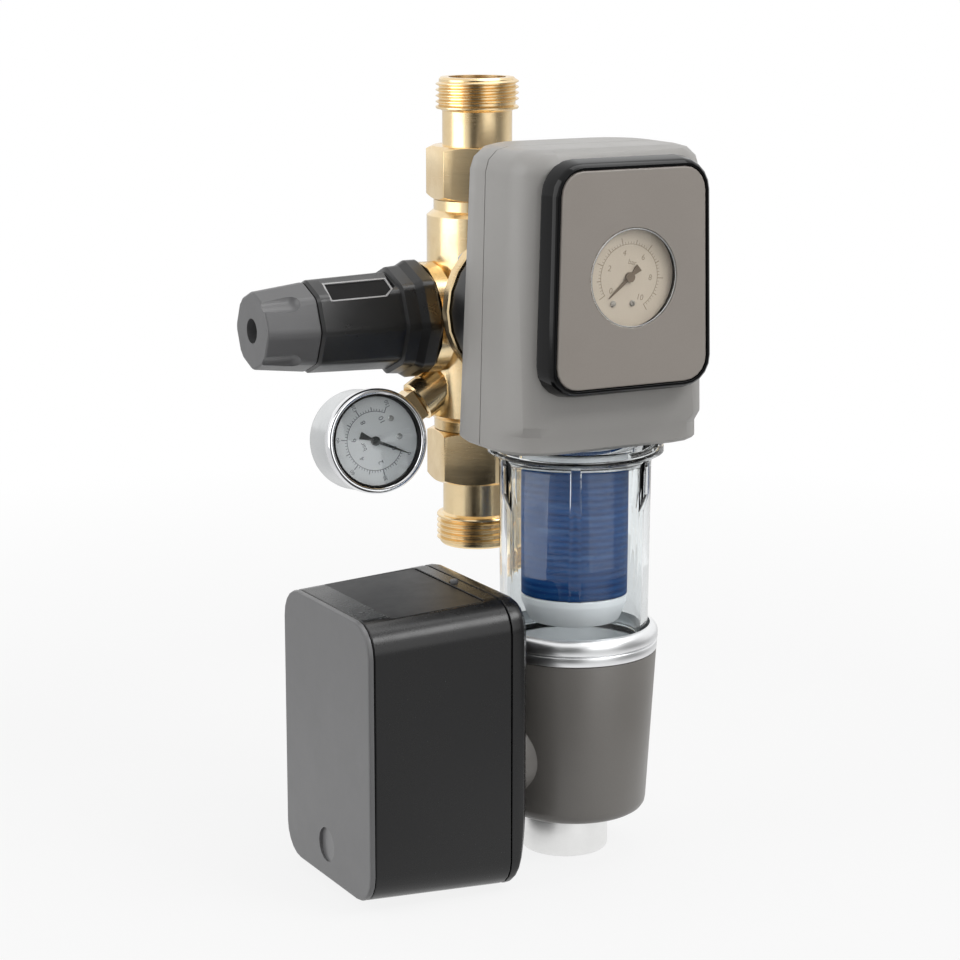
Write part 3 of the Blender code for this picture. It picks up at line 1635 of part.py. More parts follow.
def valve_place(height=0.0, turn=UPRIGHT):
    """On the upright axis of the ball, its seats and the nozzle, set a little towards the actuator."""
    return spot(-VALVE_OFFSET, BOWL_AXIS_Y, height, turn)


def make_flush_ball(metal):
    place = flush_place(VALVE_OFFSET)
    bm = bmesh.new()
    bmesh.ops.create_uvsphere(bm, u_segments=ROUND, v_segments=TINY + 4, radius=BALL_RADIUS)
    ball = make_object("flush_ball", bm, metal, place)
    across = Matrix.Rotation(math.pi / 2, 4, "X")
    reach = 2 * BALL_RADIUS
    cut(
        ball,
        rod("ball_bore", BALL_BORE, -reach, reach, place=place @ across),
        block("ball_slot", (-reach, reach), (-1.6 * mm, 1.6 * mm), (BALL_RADIUS - 3 * mm, reach), place=place),
    )
    return ball


def make_drive_spindle(steel):
    """Tang in the ball's slot, round shaft through the housing, square end in the gear."""
    tip = VALVE_OFFSET + BALL_RADIUS - 3 * mm + GAP
    start = VALVE_OFFSET + BALL_RADIUS + 1.2 * mm
    end = gear_near() + GEAR_WIDTH + 2 * mm
    spindle = rod("drive_spindle", SPINDLE_RADIUS, start, end, steel, flush_place(), segments=SMALL, chamfer=0.5 * mm)
    tang = block(
        "tang_form", (-3 * mm, 3 * mm), (-1.3 * mm, 1.3 * mm), (tip, start + 2 * mm), place=flush_place()
    )
    join(spindle, tang)
    return spindle


def make_spindle_seal(rubber):
    near = side_port_reach() - 6 * mm + GAP
    return ring(
        "spindle_seal",
        SPINDLE_RADIUS + GAP,
        SPINDLE_RADIUS + 2.3 * mm,
        near,
        near + 3 * mm,
        rubber,
        flush_place(),
        segments=SMALL,
    )


def make_ball_seat(name, white, turn):
    """A ring that holds the ball from above, or from below once turned over."""
    near = seat_inner()
    return turned(
        name,
        [
            (NOZZLE_BORE, math.sqrt(BALL_RADIUS**2 - NOZZLE_BORE**2) + GAP),
            (NOZZLE_BORE + 1.2 * mm, near),
            (BALL_RADIUS, near),
            (BALL_RADIUS, near + SEAT_HEIGHT),
            (NOZZLE_BORE, near + SEAT_HEIGHT),
        ],
        white,
        valve_place(FLUSH_AXIS_Z, turn),
        segments=ROUND,
    )


def make_drain_nozzle(metal):
    top = FLUSH_AXIS_Z - seat_inner() - SEAT_HEIGHT - GAP
    flange = DRAIN_BASE - GAP
    base = flange - NOZZLE_LENGTH
    return turned(
        "drain_nozzle",
        [
            (NOZZLE_BORE, top),
            (NOZZLE_SPIGOT_RADIUS, top),
            (NOZZLE_SPIGOT_RADIUS, flange),
            (NOZZLE_RADIUS, flange),
            (NOZZLE_RADIUS, base + 1.2 * mm),
            (NOZZLE_RADIUS - 0.5 * mm, base),
            (NOZZLE_BORE + 2.5 * mm, base),
            (NOZZLE_BORE + 2.5 * mm, base + 10 * mm),
            (NOZZLE_BORE, base + 12 * mm),
        ],
        metal,
        valve_place(),
        segments=FINE,
    )


# Flush actuator


def box_section(x, inset):
    """The actuator's outline at one x, a rounded rectangle in Y and Z, smaller towards its end."""
    shrink = (BOX_MOUNT_X - x) * math.tan(BOX_TAPER)
    outline = round_rectangle(
        BOX_HALF_HEIGHT - shrink - inset,
        BOX_HALF_WIDTH - shrink - inset,
        BOX_CORNER - inset,
        -x,
        5,
    )
    return outline


def box_place():
    return spot(y=BOWL_AXIS_Y, z=BOX_CENTRE_Z, turn=TO_LEFT)


def box_form(name, stations, material=None):
    """A solid through (x, inset) stations."""
    sections = [box_section(x, inset) for x, inset in stations]
    return make_object(name, skin_sections(sections), material, box_place())


def case_span():
    return BOX_MOUNT_X - BACK_COVER_DEPTH - GAP, BOX_END_X + END_COVER_DEPTH + GAP


def make_actuator_case(plastic):
    near, far = case_span()
    lip = 0.4 * mm
    case = box_form("actuator_case", [(near, lip), (near - lip, 0.0), (far + lip, 0.0), (far, lip)], plastic)
    cut(case, box_form("case_hollow", [(near + 5 * mm, BOX_WALL), (far - 5 * mm, BOX_WALL)]))
    sink = make_object("top_panel_sink", top_panel_form(GAP, 4 * mm), None, top_panel_place())
    cut(case, sink)
    cut(case, rod("button_guide", BUTTON_RADIUS + SLIDE, -10 * mm, 10 * mm, place=button_place(), segments=SMALL))
    return case


def upper_wall_place(start):
    """On the case's upper wall, at a distance from its mount end. The wall rises that way by the taper."""
    x = case_span()[0] - start
    height = BOX_CENTRE_Z + BOX_HALF_HEIGHT - (BOX_MOUNT_X - x) * math.tan(BOX_TAPER)
    return spot(x, BOWL_AXIS_Y, height, Matrix.Rotation(-BOX_TAPER, 4, "Y"))


def top_panel_place():
    return upper_wall_place(TOP_PANEL_START + TOP_PANEL_LENGTH / 2)


def top_panel_form(grow, rise):
    half_x = TOP_PANEL_LENGTH / 2 + grow
    half_y = TOP_PANEL_WIDTH / 2 + grow
    low = -TOP_PANEL_THICKNESS - TOP_PANEL_SINK - grow
    sections = [
        round_rectangle(half_x, half_y, 1.5 * mm + grow, low, 3),
        round_rectangle(half_x, half_y, 1.5 * mm + grow, low + TOP_PANEL_THICKNESS + rise, 3),
    ]
    return skin_sections(sections)


def button_place():
    return upper_wall_place(BUTTON_START) @ Matrix.Translation((0.0, BUTTON_OFFSET, 0.0))


def make_top_panel(plastic):
    return make_object("actuator_top_panel", top_panel_form(0.0, 0.0), plastic, top_panel_place())


def make_flush_button(plastic):
    """A small button through the upper wall, with a collar that holds it and a foot over the switch."""
    collar = BUTTON_RADIUS + 1.2 * mm
    collar_top = -BOX_WALL - GAP
    return turned(
        "flush_button",
        [
            (0.0, -BUTTON_LENGTH),
            (BUTTON_RADIUS * 0.7, -BUTTON_LENGTH),
            (BUTTON_RADIUS * 0.7, collar_top - 1 * mm),
            (collar, collar_top - 1 * mm),
            (collar, collar_top),
            (BUTTON_RADIUS, collar_top),
            (BUTTON_RADIUS, BUTTON_TRAVEL - 0.2 * mm),
            (BUTTON_RADIUS - 0.4 * mm, BUTTON_TRAVEL + 0.2 * mm),
            (0.0, BUTTON_TRAVEL + 0.2 * mm),
        ],
        plastic,
        button_place(),
        segments=SMALL,
    )


def swept_form(name, stations, material=None):
    """A box form whose mount face sweeps away from the head over its lowest stretch."""
    bm = skin_sections([box_section(x, inset) for x, inset in stations])
    start = BACK_COVER_FOOT - BOX_HALF_HEIGHT
    steps = 4
    for i in range(steps):
        bmesh.ops.bisect_plane(
            bm,
            geom=bm.verts[:] + bm.edges[:] + bm.faces[:],
            dist=1e-7,
            plane_co=(start - BACK_COVER_FOOT * i / steps * 0.7, 0.0, 0.0),
            plane_no=(1.0, 0.0, 0.0),
        )
    far = BACK_COVER_DEPTH - BOX_MOUNT_X
    for vert in bm.verts:
        drop = max(0.0, start - vert.co.x) / BACK_COVER_FOOT
        share = max(0.0, far - vert.co.z) / BACK_COVER_DEPTH
        vert.co.z += BACK_COVER_SWEEP * drop**2 * min(share, 1.0)
    return make_object(name, bm, material, box_place())


def make_back_cover(plastic):
    """The dished cover at the mount end, with a round seat over the side port."""
    near = BOX_MOUNT_X
    far = BOX_MOUNT_X - BACK_COVER_DEPTH
    cover = swept_form(
        "actuator_back_cover",
        [(near, 5 * mm), (near - 1 * mm, 2 * mm), (near - 2.5 * mm, 0.5 * mm), (near - 4.5 * mm, 0.0), (far, 0.0)],
        plastic,
    )
    hollow = [(near - BOX_WALL, BOX_WALL + 3 * mm), (near - 5 * mm, BOX_WALL), (far - 5 * mm, BOX_WALL)]
    cut(cover, swept_form("back_cover_hollow", hollow))
    cut(cover, rod("back_cover_hole", SIDE_PORT_RADIUS - 6 * mm, 30 * mm, 60 * mm, place=flush_place()))
    return cover


def make_end_cover(plastic):
    """The cover plate at the far end: a skirt inside the case and a thumb notch near its lower edge."""
    near = BOX_END_X + END_COVER_DEPTH
    far = BOX_END_X
    edge = 0.8 * mm
    cover = box_form(
        "actuator_end_cover", [(near, 0.0), (far + edge, 0.0), (far + edge * 0.3, edge * 0.3), (far, edge)], plastic
    )
    skirt = BOX_WALL + SLIDE
    tongue = box_form("cover_tongue", [(near + COVER_SKIRT, skirt + 0.5 * mm), (near - 1 * mm, skirt)])
    join(cover, tongue)
    inner = skirt + 1.8 * mm
    cut(cover, box_form("cover_hollow", [(near + COVER_SKIRT + 5 * mm, inner), (far + BOX_WALL, inner)]))
    tilt = math.asin(NOTCH_DEPTH / (2 * NOTCH_RADIUS))
    notch = rod(
        "thumb_notch",
        NOTCH_RADIUS,
        0.0,
        20 * mm,
        place=spot(
            BOX_END_X + NOTCH_DEPTH / 2,
            BOWL_AXIS_Y + 0.6 * mm,
            BOX_CENTRE_Z - BOX_HALF_HEIGHT + NOTCH_HEIGHT,
            Matrix.Rotation(-tilt, 4, "Z") @ TO_LEFT,
        ),
        segments=ROUND,
    )
    cut(cover, notch)
    return cover


def gear_near():
    """The gear's near face, measured from the bowl's axis along the flush axis."""
    return -BOX_MOUNT_X + BOX_WALL + 3 * mm


def make_gear_bmesh(teeth, width):
    """A spur gear: straight tooth flanks between root and tip circles."""
    pitch = GEAR_MODULE * teeth / 2
    root = pitch - 1.2 * GEAR_MODULE
    tip = pitch + 0.9 * GEAR_MODULE
    step = 2 * math.pi / teeth
    outline = []
    for i in range(teeth):
        for share, radius in ((-0.32, root), (-0.14, tip), (0.14, tip), (0.32, root)):
            angle = (i + share) * step
            outline.append((radius * math.cos(angle), radius * math.sin(angle)))
    sections = [[(x, y, z) for x, y in outline] for z in (0.0, width)]
    return skin_sections(sections)


def gear_distance():
    return GEAR_MODULE * (GEAR_TEETH + PINION_TEETH) / 2 + 0.35 * mm


def make_output_gear(plastic):
    place = flush_place() @ Matrix.Translation((0.0, 0.0, gear_near()))
    gear = make_object("output_gear", make_gear_bmesh(GEAR_TEETH, GEAR_WIDTH), plastic, place)
    cut(gear, rod("gear_bore", SPINDLE_RADIUS + GAP, -5 * mm, 15 * mm, place=place, segments=SMALL))
    return gear


def pinion_place():
    """Above the gear, with a tooth gap of the pinion over a tooth of the gear."""
    turn = Matrix.Rotation(math.pi / PINION_TEETH, 4, "Z")
    return flush_place() @ Matrix.Translation((gear_distance(), 0.0, gear_near())) @ turn


def make_motor(steel, plastic):
    place = pinion_place()
    pinion = make_object("motor_pinion", make_gear_bmesh(PINION_TEETH, GEAR_WIDTH), plastic, place)
    shaft = rod("pinion_shaft_form", 1.6 * mm, GEAR_WIDTH - 1 * mm, GEAR_WIDTH + 8 * mm, place=place, segments=TINY)
    join(pinion, shaft)
    start = GEAR_WIDTH + 1 * mm + GEAR_PLATE_THICKNESS + GAP
    motor = turned(
        "flush_motor",
        [
            (1.6 * mm + SLIDE, start),
            (MOTOR_RADIUS, start),
            (MOTOR_RADIUS, start + MOTOR_LENGTH - 2 * mm),
            (MOTOR_RADIUS - 2 * mm, start + MOTOR_LENGTH),
            (1.6 * mm + SLIDE, start + MOTOR_LENGTH),
        ],
        steel,
        place,
        segments=ROUND,
    )
    return pinion, motor


def plate_span():
    near = -(gear_near() + GEAR_WIDTH + 1 * mm)
    return near, near - GEAR_PLATE_THICKNESS


def make_gear_plate(plastic):
    """The plate behind the gears that carries the motor, held to the back cover."""
    near, far = plate_span()
    inset = BOX_WALL + GAP
    plate = box_form("gear_plate", [(near, inset), (far, inset)], plastic)
    cut(
        plate,
        rod("plate_spindle_hole", SPINDLE_RADIUS + GAP, 30 * mm, 70 * mm, place=flush_place(), segments=SMALL),
        rod("plate_shaft_hole", 1.6 * mm + SLIDE, -5 * mm, 20 * mm, place=pinion_place(), segments=SMALL),
        block(
            "plate_notch",
            (far - 5 * mm, near + 5 * mm),
            switch_span(TONGUE_HALF_WIDTH + GAP),
            (board_top() - BOARD_THICKNESS - GAP, BOX_CENTRE_Z + BOX_HALF_HEIGHT),
        ),
    )
    return plate


def make_battery_pack(black, cell_metal):
    """Four cells side by side, wrapped as one pack, in an open holder."""
    back = plate_span()[1] - GAP
    tray_base = BOX_CENTRE_Z - BOX_HALF_HEIGHT + BATTERY_LIFT
    x_far = BOX_END_X + BOX_WALL + 2 * mm
    x_centre = x_far + CELL_RADIUS + 1 * mm
    pitch = 2 * CELL_RADIUS - 1 * mm
    first = BOWL_AXIS_Y - pitch * (CELL_COUNT - 1) / 2
    cells = None
    for i in range(CELL_COUNT):
        cell = turned(
            "battery_pack" if cells is None else f"cell_form_{i}",
            [
                (0.0, 0.0),
                (CELL_RADIUS - 0.5 * mm, 0.0),
                (CELL_RADIUS, 0.5 * mm),
                (CELL_RADIUS, CELL_LENGTH - 1.5 * mm),
                (2.7 * mm, CELL_LENGTH - 1.5 * mm),
                (2.7 * mm, CELL_LENGTH),
                (0.0, CELL_LENGTH),
            ],
            cell_metal if cells is None else None,
            spot(x_centre, first + i * pitch, tray_base),
            segments=SMALL,
        )
        if cells is None:
            cells = cell
        else:
            join(cells, cell)
    half = pitch * CELL_COUNT / 2 + 1.2 * mm
    holder = block(
        "battery_holder",
        (x_centre - CELL_RADIUS * 0.4, back),
        (BOWL_AXIS_Y - half, BOWL_AXIS_Y + half),
        (tray_base - 2.5 * mm, tray_base + CELL_LENGTH + 2.5 * mm),
        black,
    )
    pocket = block(
        "holder_pocket",
        (x_centre - 40 * mm, x_centre + CELL_RADIUS + GAP),
        (BOWL_AXIS_Y - half + 1.2 * mm - GAP, BOWL_AXIS_Y + half - 1.2 * mm + GAP),
        (tray_base - GAP, tray_base + CELL_LENGTH + GAP),
    )
    motor_room = rod("motor_room", MOTOR_RADIUS + GAP, 0.0, 60 * mm, place=pinion_place(), segments=ROUND)
    cut(holder, pocket, motor_room)
    spindle_room = rod("spindle_room", SPINDLE_RADIUS + 1 * mm, 0.0, 65 * mm, place=flush_place(), segments=SMALL)
    cut(holder, spindle_room)
    return cells, holder


def board_top():
    """The board's upper face: the switch stands on it, the travel and a gap below the button's foot."""
    foot = button_place() @ Vector((0.0, 0.0, -BUTTON_LENGTH))
    return foot.z - BUTTON_TRAVEL - GAP - SWITCH_HEIGHT


def switch_span(half):
    middle = BOWL_AXIS_Y + BUTTON_OFFSET
    return middle - half, middle + half


def make_control_board(green):
    """The circuit board below the top panel. Its tongue carries the switch that the button presses."""
    far = plate_span()[1]
    top = board_top()
    under = top - BOARD_THICKNESS
    switch_x = button_place().translation.x
    board = block(
        "control_board",
        (far - BOARD_LENGTH, far - GAP),
        (BOWL_AXIS_Y - BOARD_HALF_WIDTH, BOWL_AXIS_Y + BOARD_HALF_WIDTH),
        (under, top),
        green,
    )
    tongue_end = switch_x + SWITCH_HALF_WIDTH + 1 * mm
    tongue = block("board_tongue_form", (far - 5 * mm, tongue_end), switch_span(TONGUE_HALF_WIDTH), (under, top))
    switch = block(
        "switch_form",
        (switch_x - SWITCH_HALF_WIDTH, switch_x + SWITCH_HALF_WIDTH),
        switch_span(SWITCH_HALF_WIDTH),
        (top - BOARD_THICKNESS / 2, top + SWITCH_HEIGHT),
    )
    join(board, tongue, switch)
    return board


def main():
    clear_scene()
    brass = make_material("brass", (0.72, 0.55, 0.33), 0.32, 1.0)
    steel = make_material("steel", (0.62, 0.62, 0.62), 0.3, 1.0)
    chrome = make_material("chrome", (0.85, 0.85, 0.86), 0.08, 1.0)
    rubber = make_material("rubber", (0.03, 0.03, 0.03), 0.7)
    black = make_material("black_plastic", (0.03, 0.03, 0.032), 0.45)
    gloss = make_material("gloss_black", (0.012, 0.012, 0.013), 0.08)
    knob_grey = make_material("knob_grey", (0.12, 0.12, 0.12), 0.5)
    shell_grey = make_material("shell_grey", (0.3, 0.3, 0.29), 0.42)
    panel_taupe = make_material("panel_taupe", (0.26, 0.235, 0.21), 0.4)
    cone_grey = make_material("cone_grey", (0.15, 0.145, 0.14), 0.45)
    white = make_material("white_plastic", (0.8, 0.8, 0.8), 0.4)
    blue = make_material("screen_blue", (0.04, 0.1, 0.24), 0.6)
    clear = make_material("clear_plastic", (0.8, 0.83, 0.85), 0.05)
    box_black = make_material("box_black", (0.03, 0.03, 0.03), 0.4)
    box_plate = make_material("box_plate", (0.13, 0.13, 0.13), 0.4)
    green = make_material("board_green", (0.02, 0.15, 0.06), 0.5)

    make_connector_body(brass)
    make_tail("inlet_tail", brass, 1)
    make_tail("outlet_tail", brass, -1)
    make_tail_seal("inlet_tail_seal", rubber, 1)
    make_tail_seal("outlet_tail_seal", rubber, -1)

    make_reducer_bonnet(black)
    knob = make_pressure_knob(knob_grey)
    screw = make_adjusting_screw(steel)
    hang(axis_empty("knob_axis", reducer_place(knob_start())), knob, screw)
    make_spring_plate(steel)
    make_reducer_spring(steel)
    make_reducer_piston(brass)
    make_piston_seal(rubber)
    make_valve_seat(brass)

    outlet_needle = make_outlet_gauge(steel, chrome, white, black, clear, brass)
    inlet_needle = make_inlet_gauge(black, white, clear, brass)
    hang(axis_empty("outlet_needle_axis", gauge_face_place()), outlet_needle)
    hang(axis_empty("inlet_needle_axis", spot(z=PANEL_CENTRE_Z, turn=TO_FRONT)), inlet_needle)

    make_flange_bolts(steel)
    make_flange_gasket(rubber)
    make_head_core(black)
    make_head_shells(shell_grey)
    make_panel_frame(gloss)
    make_front_panel(panel_taupe)

    make_bowl(clear)
    make_bowl_seal(rubber)
    make_screen(blue, white)
    make_bowl_ring(chrome)
    make_ring_seal(rubber)
    make_drain_housing(cone_grey)
    make_drain_nozzle(white)
    make_ball_seat("upper_ball_seat", white, UPRIGHT)
    make_ball_seat("lower_ball_seat", white, Matrix.Rotation(math.pi, 4, "X"))
    make_spindle_seal(rubber)
    ball = make_flush_ball(chrome)
    spindle = make_drive_spindle(steel)
    gear = make_output_gear(white)
    hang(axis_empty("flush_axis", flush_place()), ball, spindle, gear)

    pinion, motor = make_motor(steel, white)
    hang(axis_empty("pinion_axis", pinion_place()), pinion)
    make_gear_plate(box_black)
    make_actuator_case(box_black)
    make_back_cover(box_black)
    make_end_cover(box_plate)
    make_top_panel(box_black)
    make_flush_button(box_plate)
    make_battery_pack(box_black, steel)
    make_control_board(green)


main()
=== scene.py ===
# %% [markdown]
# # A self cleaning water filter, dressed for its picture
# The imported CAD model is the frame: every solid already has its size, place and moving body.
# This script adds what the solids leave out, which is turned and threaded brass, clear plastic,
# polished rims, printed dials and the finish of every surface. One way is to paint the solids as they
# are. Here the round and shiny pieces are turned again with finer steps, because a reflection shows
# every flat facet, and the plainer solids keep their shape and get softened edges.

# %% Load the frame
import bpy
import bmesh
import json
import math
from mathutils import Matrix, Vector


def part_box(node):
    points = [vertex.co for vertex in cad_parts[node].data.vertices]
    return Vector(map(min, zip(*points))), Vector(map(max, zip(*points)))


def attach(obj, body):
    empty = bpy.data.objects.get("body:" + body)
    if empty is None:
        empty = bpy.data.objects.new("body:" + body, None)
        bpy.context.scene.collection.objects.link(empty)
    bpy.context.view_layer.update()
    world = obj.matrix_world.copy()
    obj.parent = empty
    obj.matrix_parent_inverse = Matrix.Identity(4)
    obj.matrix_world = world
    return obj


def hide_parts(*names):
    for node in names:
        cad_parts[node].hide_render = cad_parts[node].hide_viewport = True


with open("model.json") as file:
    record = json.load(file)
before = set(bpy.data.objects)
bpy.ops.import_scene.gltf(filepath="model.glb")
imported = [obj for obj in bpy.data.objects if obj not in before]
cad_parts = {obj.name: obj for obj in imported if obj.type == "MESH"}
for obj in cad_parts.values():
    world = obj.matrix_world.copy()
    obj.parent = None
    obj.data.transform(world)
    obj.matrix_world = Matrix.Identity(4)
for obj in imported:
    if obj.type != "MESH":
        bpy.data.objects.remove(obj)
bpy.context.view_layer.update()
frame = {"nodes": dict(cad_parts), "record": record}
mm = 0.001
nodes = frame["nodes"]
record = frame["record"]
body_of = {node: body for body, names in record["behaviour"]["bodies"].items() for node in names}
slot_of = {row["node"]: row["material_slot"] for row in record["subparts"]}
print(len(nodes), "solids,", sum(len(n.data.polygons) for n in nodes.values()), "triangles")

# %% [markdown]
# ## Shared measures
# The pieces below repeat the sizes of the solids they stand for, in millimetres times mm. A place is
# a matrix that moves a piece from its own axis, where it is easy to turn, to its spot on the filter.
# It could be typed as angles on each object, but the pieces must end with their place in the mesh.

# %% Places
UPRIGHT = Matrix.Identity(4)
TO_LEFT = Matrix.Rotation(math.radians(-90), 4, "Y")
TO_FRONT = Matrix.Rotation(math.radians(90), 4, "X")
BOWL_Y = -78.7 * mm
VALVE_X = -3.6 * mm
FINE = 96
MERGE = 1e-6


def spot(x=0.0, y=0.0, z=0.0, turn=UPRIGHT):
    """A place: the matrix that moves to (x, y, z) after turning."""
    return Matrix.Translation((x, y, z)) @ turn


STEM_HEIGHT = -17 * mm
STEM_ANGLE = math.radians(31.5)
GAUGE_REACH = 58.9 * mm
GAUGE_TURN = math.radians(10)
WINDOW_HEIGHT = 28.4 * mm
stem_place = spot(z=STEM_HEIGHT, turn=Matrix.Rotation(math.radians(-90) - STEM_ANGLE, 4, "Y"))
gauge_place = (
    stem_place
    @ Matrix.Translation((0, 0, GAUGE_REACH))
    @ Matrix.Rotation(GAUGE_TURN, 4, "Z")
    @ Matrix.Rotation(math.radians(90), 4, "X")
)
window_place = spot(z=WINDOW_HEIGHT, turn=TO_FRONT)
print("gauge centre:", [round(v, 4) for v in gauge_place.translation])

# %% [markdown]
# ## Workshop helpers
# Almost everything here is turned, cast or moulded. Turning is a spin of a closed outline round an
# axis, and a Boolean joins or cuts two closed shapes. A helper for each keeps the later cells short.
# The spin could leave facets flat, so faces are shaded smooth and only true corners stay sharp.

# %% Helpers for shapes
def turn_outline(outline, steps=FINE, angle=2 * math.pi):
    """A closed outline of (radius, height) points spun about +Z."""
    bm = bmesh.new()
    points = [bm.verts.new((radius, 0.0, height)) for radius, height in outline]
    edges = [bm.edges.new((points[i - 1], points[i])) for i in range(len(points))]
    whole = abs(angle - 2 * math.pi) < 1e-6
    bmesh.ops.spin(
        bm, geom=points + edges, cent=(0, 0, 0), axis=(0, 0, 1), dvec=(0, 0, 0),
        angle=angle, steps=steps, use_merge=whole, use_duplicate=False,
    )
    bmesh.ops.remove_doubles(bm, verts=bm.verts, dist=MERGE)
    if not whole:
        bmesh.ops.holes_fill(bm, edges=[e for e in bm.edges if e.is_boundary], sides=0)
    bmesh.ops.recalc_face_normals(bm, faces=bm.faces)
    return bm


def turn_mm(points, steps=FINE):
    """A full turn of an outline that is given in millimetres."""
    return turn_outline([(radius * mm, height * mm) for radius, height in points], steps)


def round_edges(bm, edges, width, segments, clamp=False):
    bmesh.ops.bevel(
        bm, geom=edges, offset=width, offset_type="OFFSET", segments=segments, profile=0.5,
        affect="EDGES", clamp_overlap=clamp, material=-1,
    )


def soften(bm, width, over=30, segments=2):
    """Rounds every edge that turns by more than the angle over, in degrees."""
    bmesh.ops.dissolve_degenerate(bm, dist=MERGE, edges=bm.edges)
    hard = [e for e in bm.edges if len(e.link_faces) == 2 and e.calc_face_angle(0.0) > math.radians(over)]
    round_edges(bm, hard, width, segments, clamp=True)
    return bm


def thicken(bm, faces, offset):
    """Pulls flat faces out into a closed plate, along an offset."""
    pushed = bmesh.ops.extrude_face_region(bm, geom=faces)["geom"]
    bmesh.ops.translate(bm, vec=offset, verts=[v for v in pushed if isinstance(v, bmesh.types.BMVert)])
    bmesh.ops.recalc_face_normals(bm, faces=bm.faces)


def turn_about_axis(bm, degrees):
    turn = Matrix.Rotation(math.radians(degrees), 3, "Z")
    bmesh.ops.rotate(bm, cent=(0, 0, 0), matrix=turn, verts=bm.verts)


def combine(bm, tool, operation):
    """Joins, cuts or keeps what two closed shapes share, with an exact Boolean."""
    made = []
    for part in (bm, tool):
        mesh = bpy.data.meshes.new("work")
        part.to_mesh(mesh)
        part.free()
        made.append(bpy.data.objects.new("work", mesh))
        bpy.context.scene.collection.objects.link(made[-1])
    modifier = made[0].modifiers.new("work", "BOOLEAN")
    modifier.object = made[1]
    modifier.operation = operation
    modifier.solver = "EXACT"
    graph = bpy.context.evaluated_depsgraph_get()
    result = bmesh.new()
    result.from_object(made[0], graph)
    for obj in made:
        bpy.data.objects.remove(obj)
    bmesh.ops.remove_doubles(result, verts=result.verts, dist=MERGE)
    return result


def merge_into(bm, extra):
    """Lays one shape beside what is there, without a Boolean."""
    mesh = bpy.data.meshes.new("extra")
    extra.to_mesh(mesh)
    extra.free()
    bm.from_mesh(mesh)
    bpy.data.meshes.remove(mesh)


def bar(x, y, z):
    """A straight bar between the pairs of limits x, y and z."""
    bm = bmesh.new()
    bmesh.ops.create_cube(bm, size=1.0)
    size = [high - low for low, high in (x, y, z)]
    bmesh.ops.scale(bm, vec=size, verts=bm.verts)
    bmesh.ops.translate(bm, vec=[(low + high) / 2 for low, high in (x, y, z)], verts=bm.verts)
    return bm


def add_piece(name, bm, place, finish, *stands_for, body="filter_body", slot=None, sharp=50):
    """Makes the finished object, with its place in its mesh, and hangs it on its moving body."""
    bmesh.ops.transform(bm, matrix=place, verts=bm.verts)
    for face in bm.faces:
        face.smooth = True
    for edge in bm.edges:
        edge.smooth = edge.calc_face_angle(0.0) < math.radians(sharp)
    mesh = bpy.data.meshes.new(name)
    bm.to_mesh(mesh)
    bm.free()
    mesh.materials.append(finish)
    piece = bpy.data.objects.new(name, mesh)
    bpy.context.scene.collection.objects.link(piece)
    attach(piece, body_of[stands_for[0]] if stands_for else body)
    if stands_for:
        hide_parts(*stands_for)
    return piece


def even_shading(piece):
    """Weighs normals by face size, so that flats look flat right up to a rounded edge."""
    even = piece.modifiers.new("even_shading", "WEIGHTED_NORMAL")
    even.keep_sharp = True
    even.weight = 80


def softened_copy(node, finish, width=0.4 * mm, over=30):
    """A copy of a solid, with its flat faces made whole again and its corners rounded."""
    bm = bmesh.new()
    bm.from_mesh(nodes[node].data)
    bmesh.ops.remove_doubles(bm, verts=bm.verts, dist=2 * MERGE)
    bmesh.ops.dissolve_limit(bm, angle_limit=math.radians(0.6), verts=bm.verts, edges=bm.edges)
    soften(bm, width, over)
    piece = add_piece(node + "_finished", bm, UPRIGHT, finish, node, sharp=46)
    even_shading(piece)


# %% [markdown]
# ## Node groups for surfaces
# No real surface has one colour and one gloss. Moulded plastic has a fine spark grain and soft
# patches left by handling, and turned metal has rings from the tool. Each effect is a node group
# that is built once and gives a colour, a roughness and a normal. A picture texture could do the
# same, but a procedure stays sharp at any distance and needs no file.

# %% Colour helper and group builder
def tone(red, green, blue):
    """A colour read as screen values from 0 to 255, made linear for the shader."""
    out = []
    for value in (red, green, blue):
        value /= 255
        out.append(value / 12.92 if value <= 0.04045 else ((value + 0.055) / 1.055) ** 2.4)
    return (*out, 1.0)


def start_group(name, inputs, outputs):
    group = bpy.data.node_groups.new(name, "ShaderNodeTree")
    for label, kind, value in inputs:
        socket = group.interface.new_socket(label, in_out="INPUT", socket_type=kind)
        socket.default_value = value
    for label, kind in outputs:
        group.interface.new_socket(label, in_out="OUTPUT", socket_type=kind)
    return group, group.nodes.new("NodeGroupInput"), group.nodes.new("NodeGroupOutput")


def feed(tree, given, socket):
    """Puts a plain value, or the output of another node, into a socket."""
    if hasattr(given, "is_output"):
        tree.links.new(given, socket)
    else:
        socket.default_value = given


def add_noise(tree, vector, scale, detail=3.0, roughness=0.55):
    noise = tree.nodes.new("ShaderNodeTexNoise")
    noise.inputs["Detail"].default_value = detail
    noise.inputs["Roughness"].default_value = roughness
    tree.links.new(vector, noise.inputs["Vector"])
    feed(tree, scale, noise.inputs["Scale"])
    return noise.outputs["Fac"]


def add_range(tree, value, low, high, to_low, to_high):
    """Maps a value between two limits to between two others, each a number or a socket."""
    node = tree.nodes.new("ShaderNodeMapRange")
    tree.links.new(value, node.inputs["Value"])
    for label, given in (("From Min", low), ("From Max", high), ("To Min", to_low), ("To Max", to_high)):
        feed(tree, given, node.inputs[label])
    return node.outputs["Result"]


def add_math(tree, operation, first, second=0.0, clamp=False):
    node = tree.nodes.new("ShaderNodeMath")
    node.operation = operation
    node.use_clamp = clamp
    for number, given in enumerate((first, second)):
        feed(tree, given, node.inputs[number])
    return node.outputs[0]


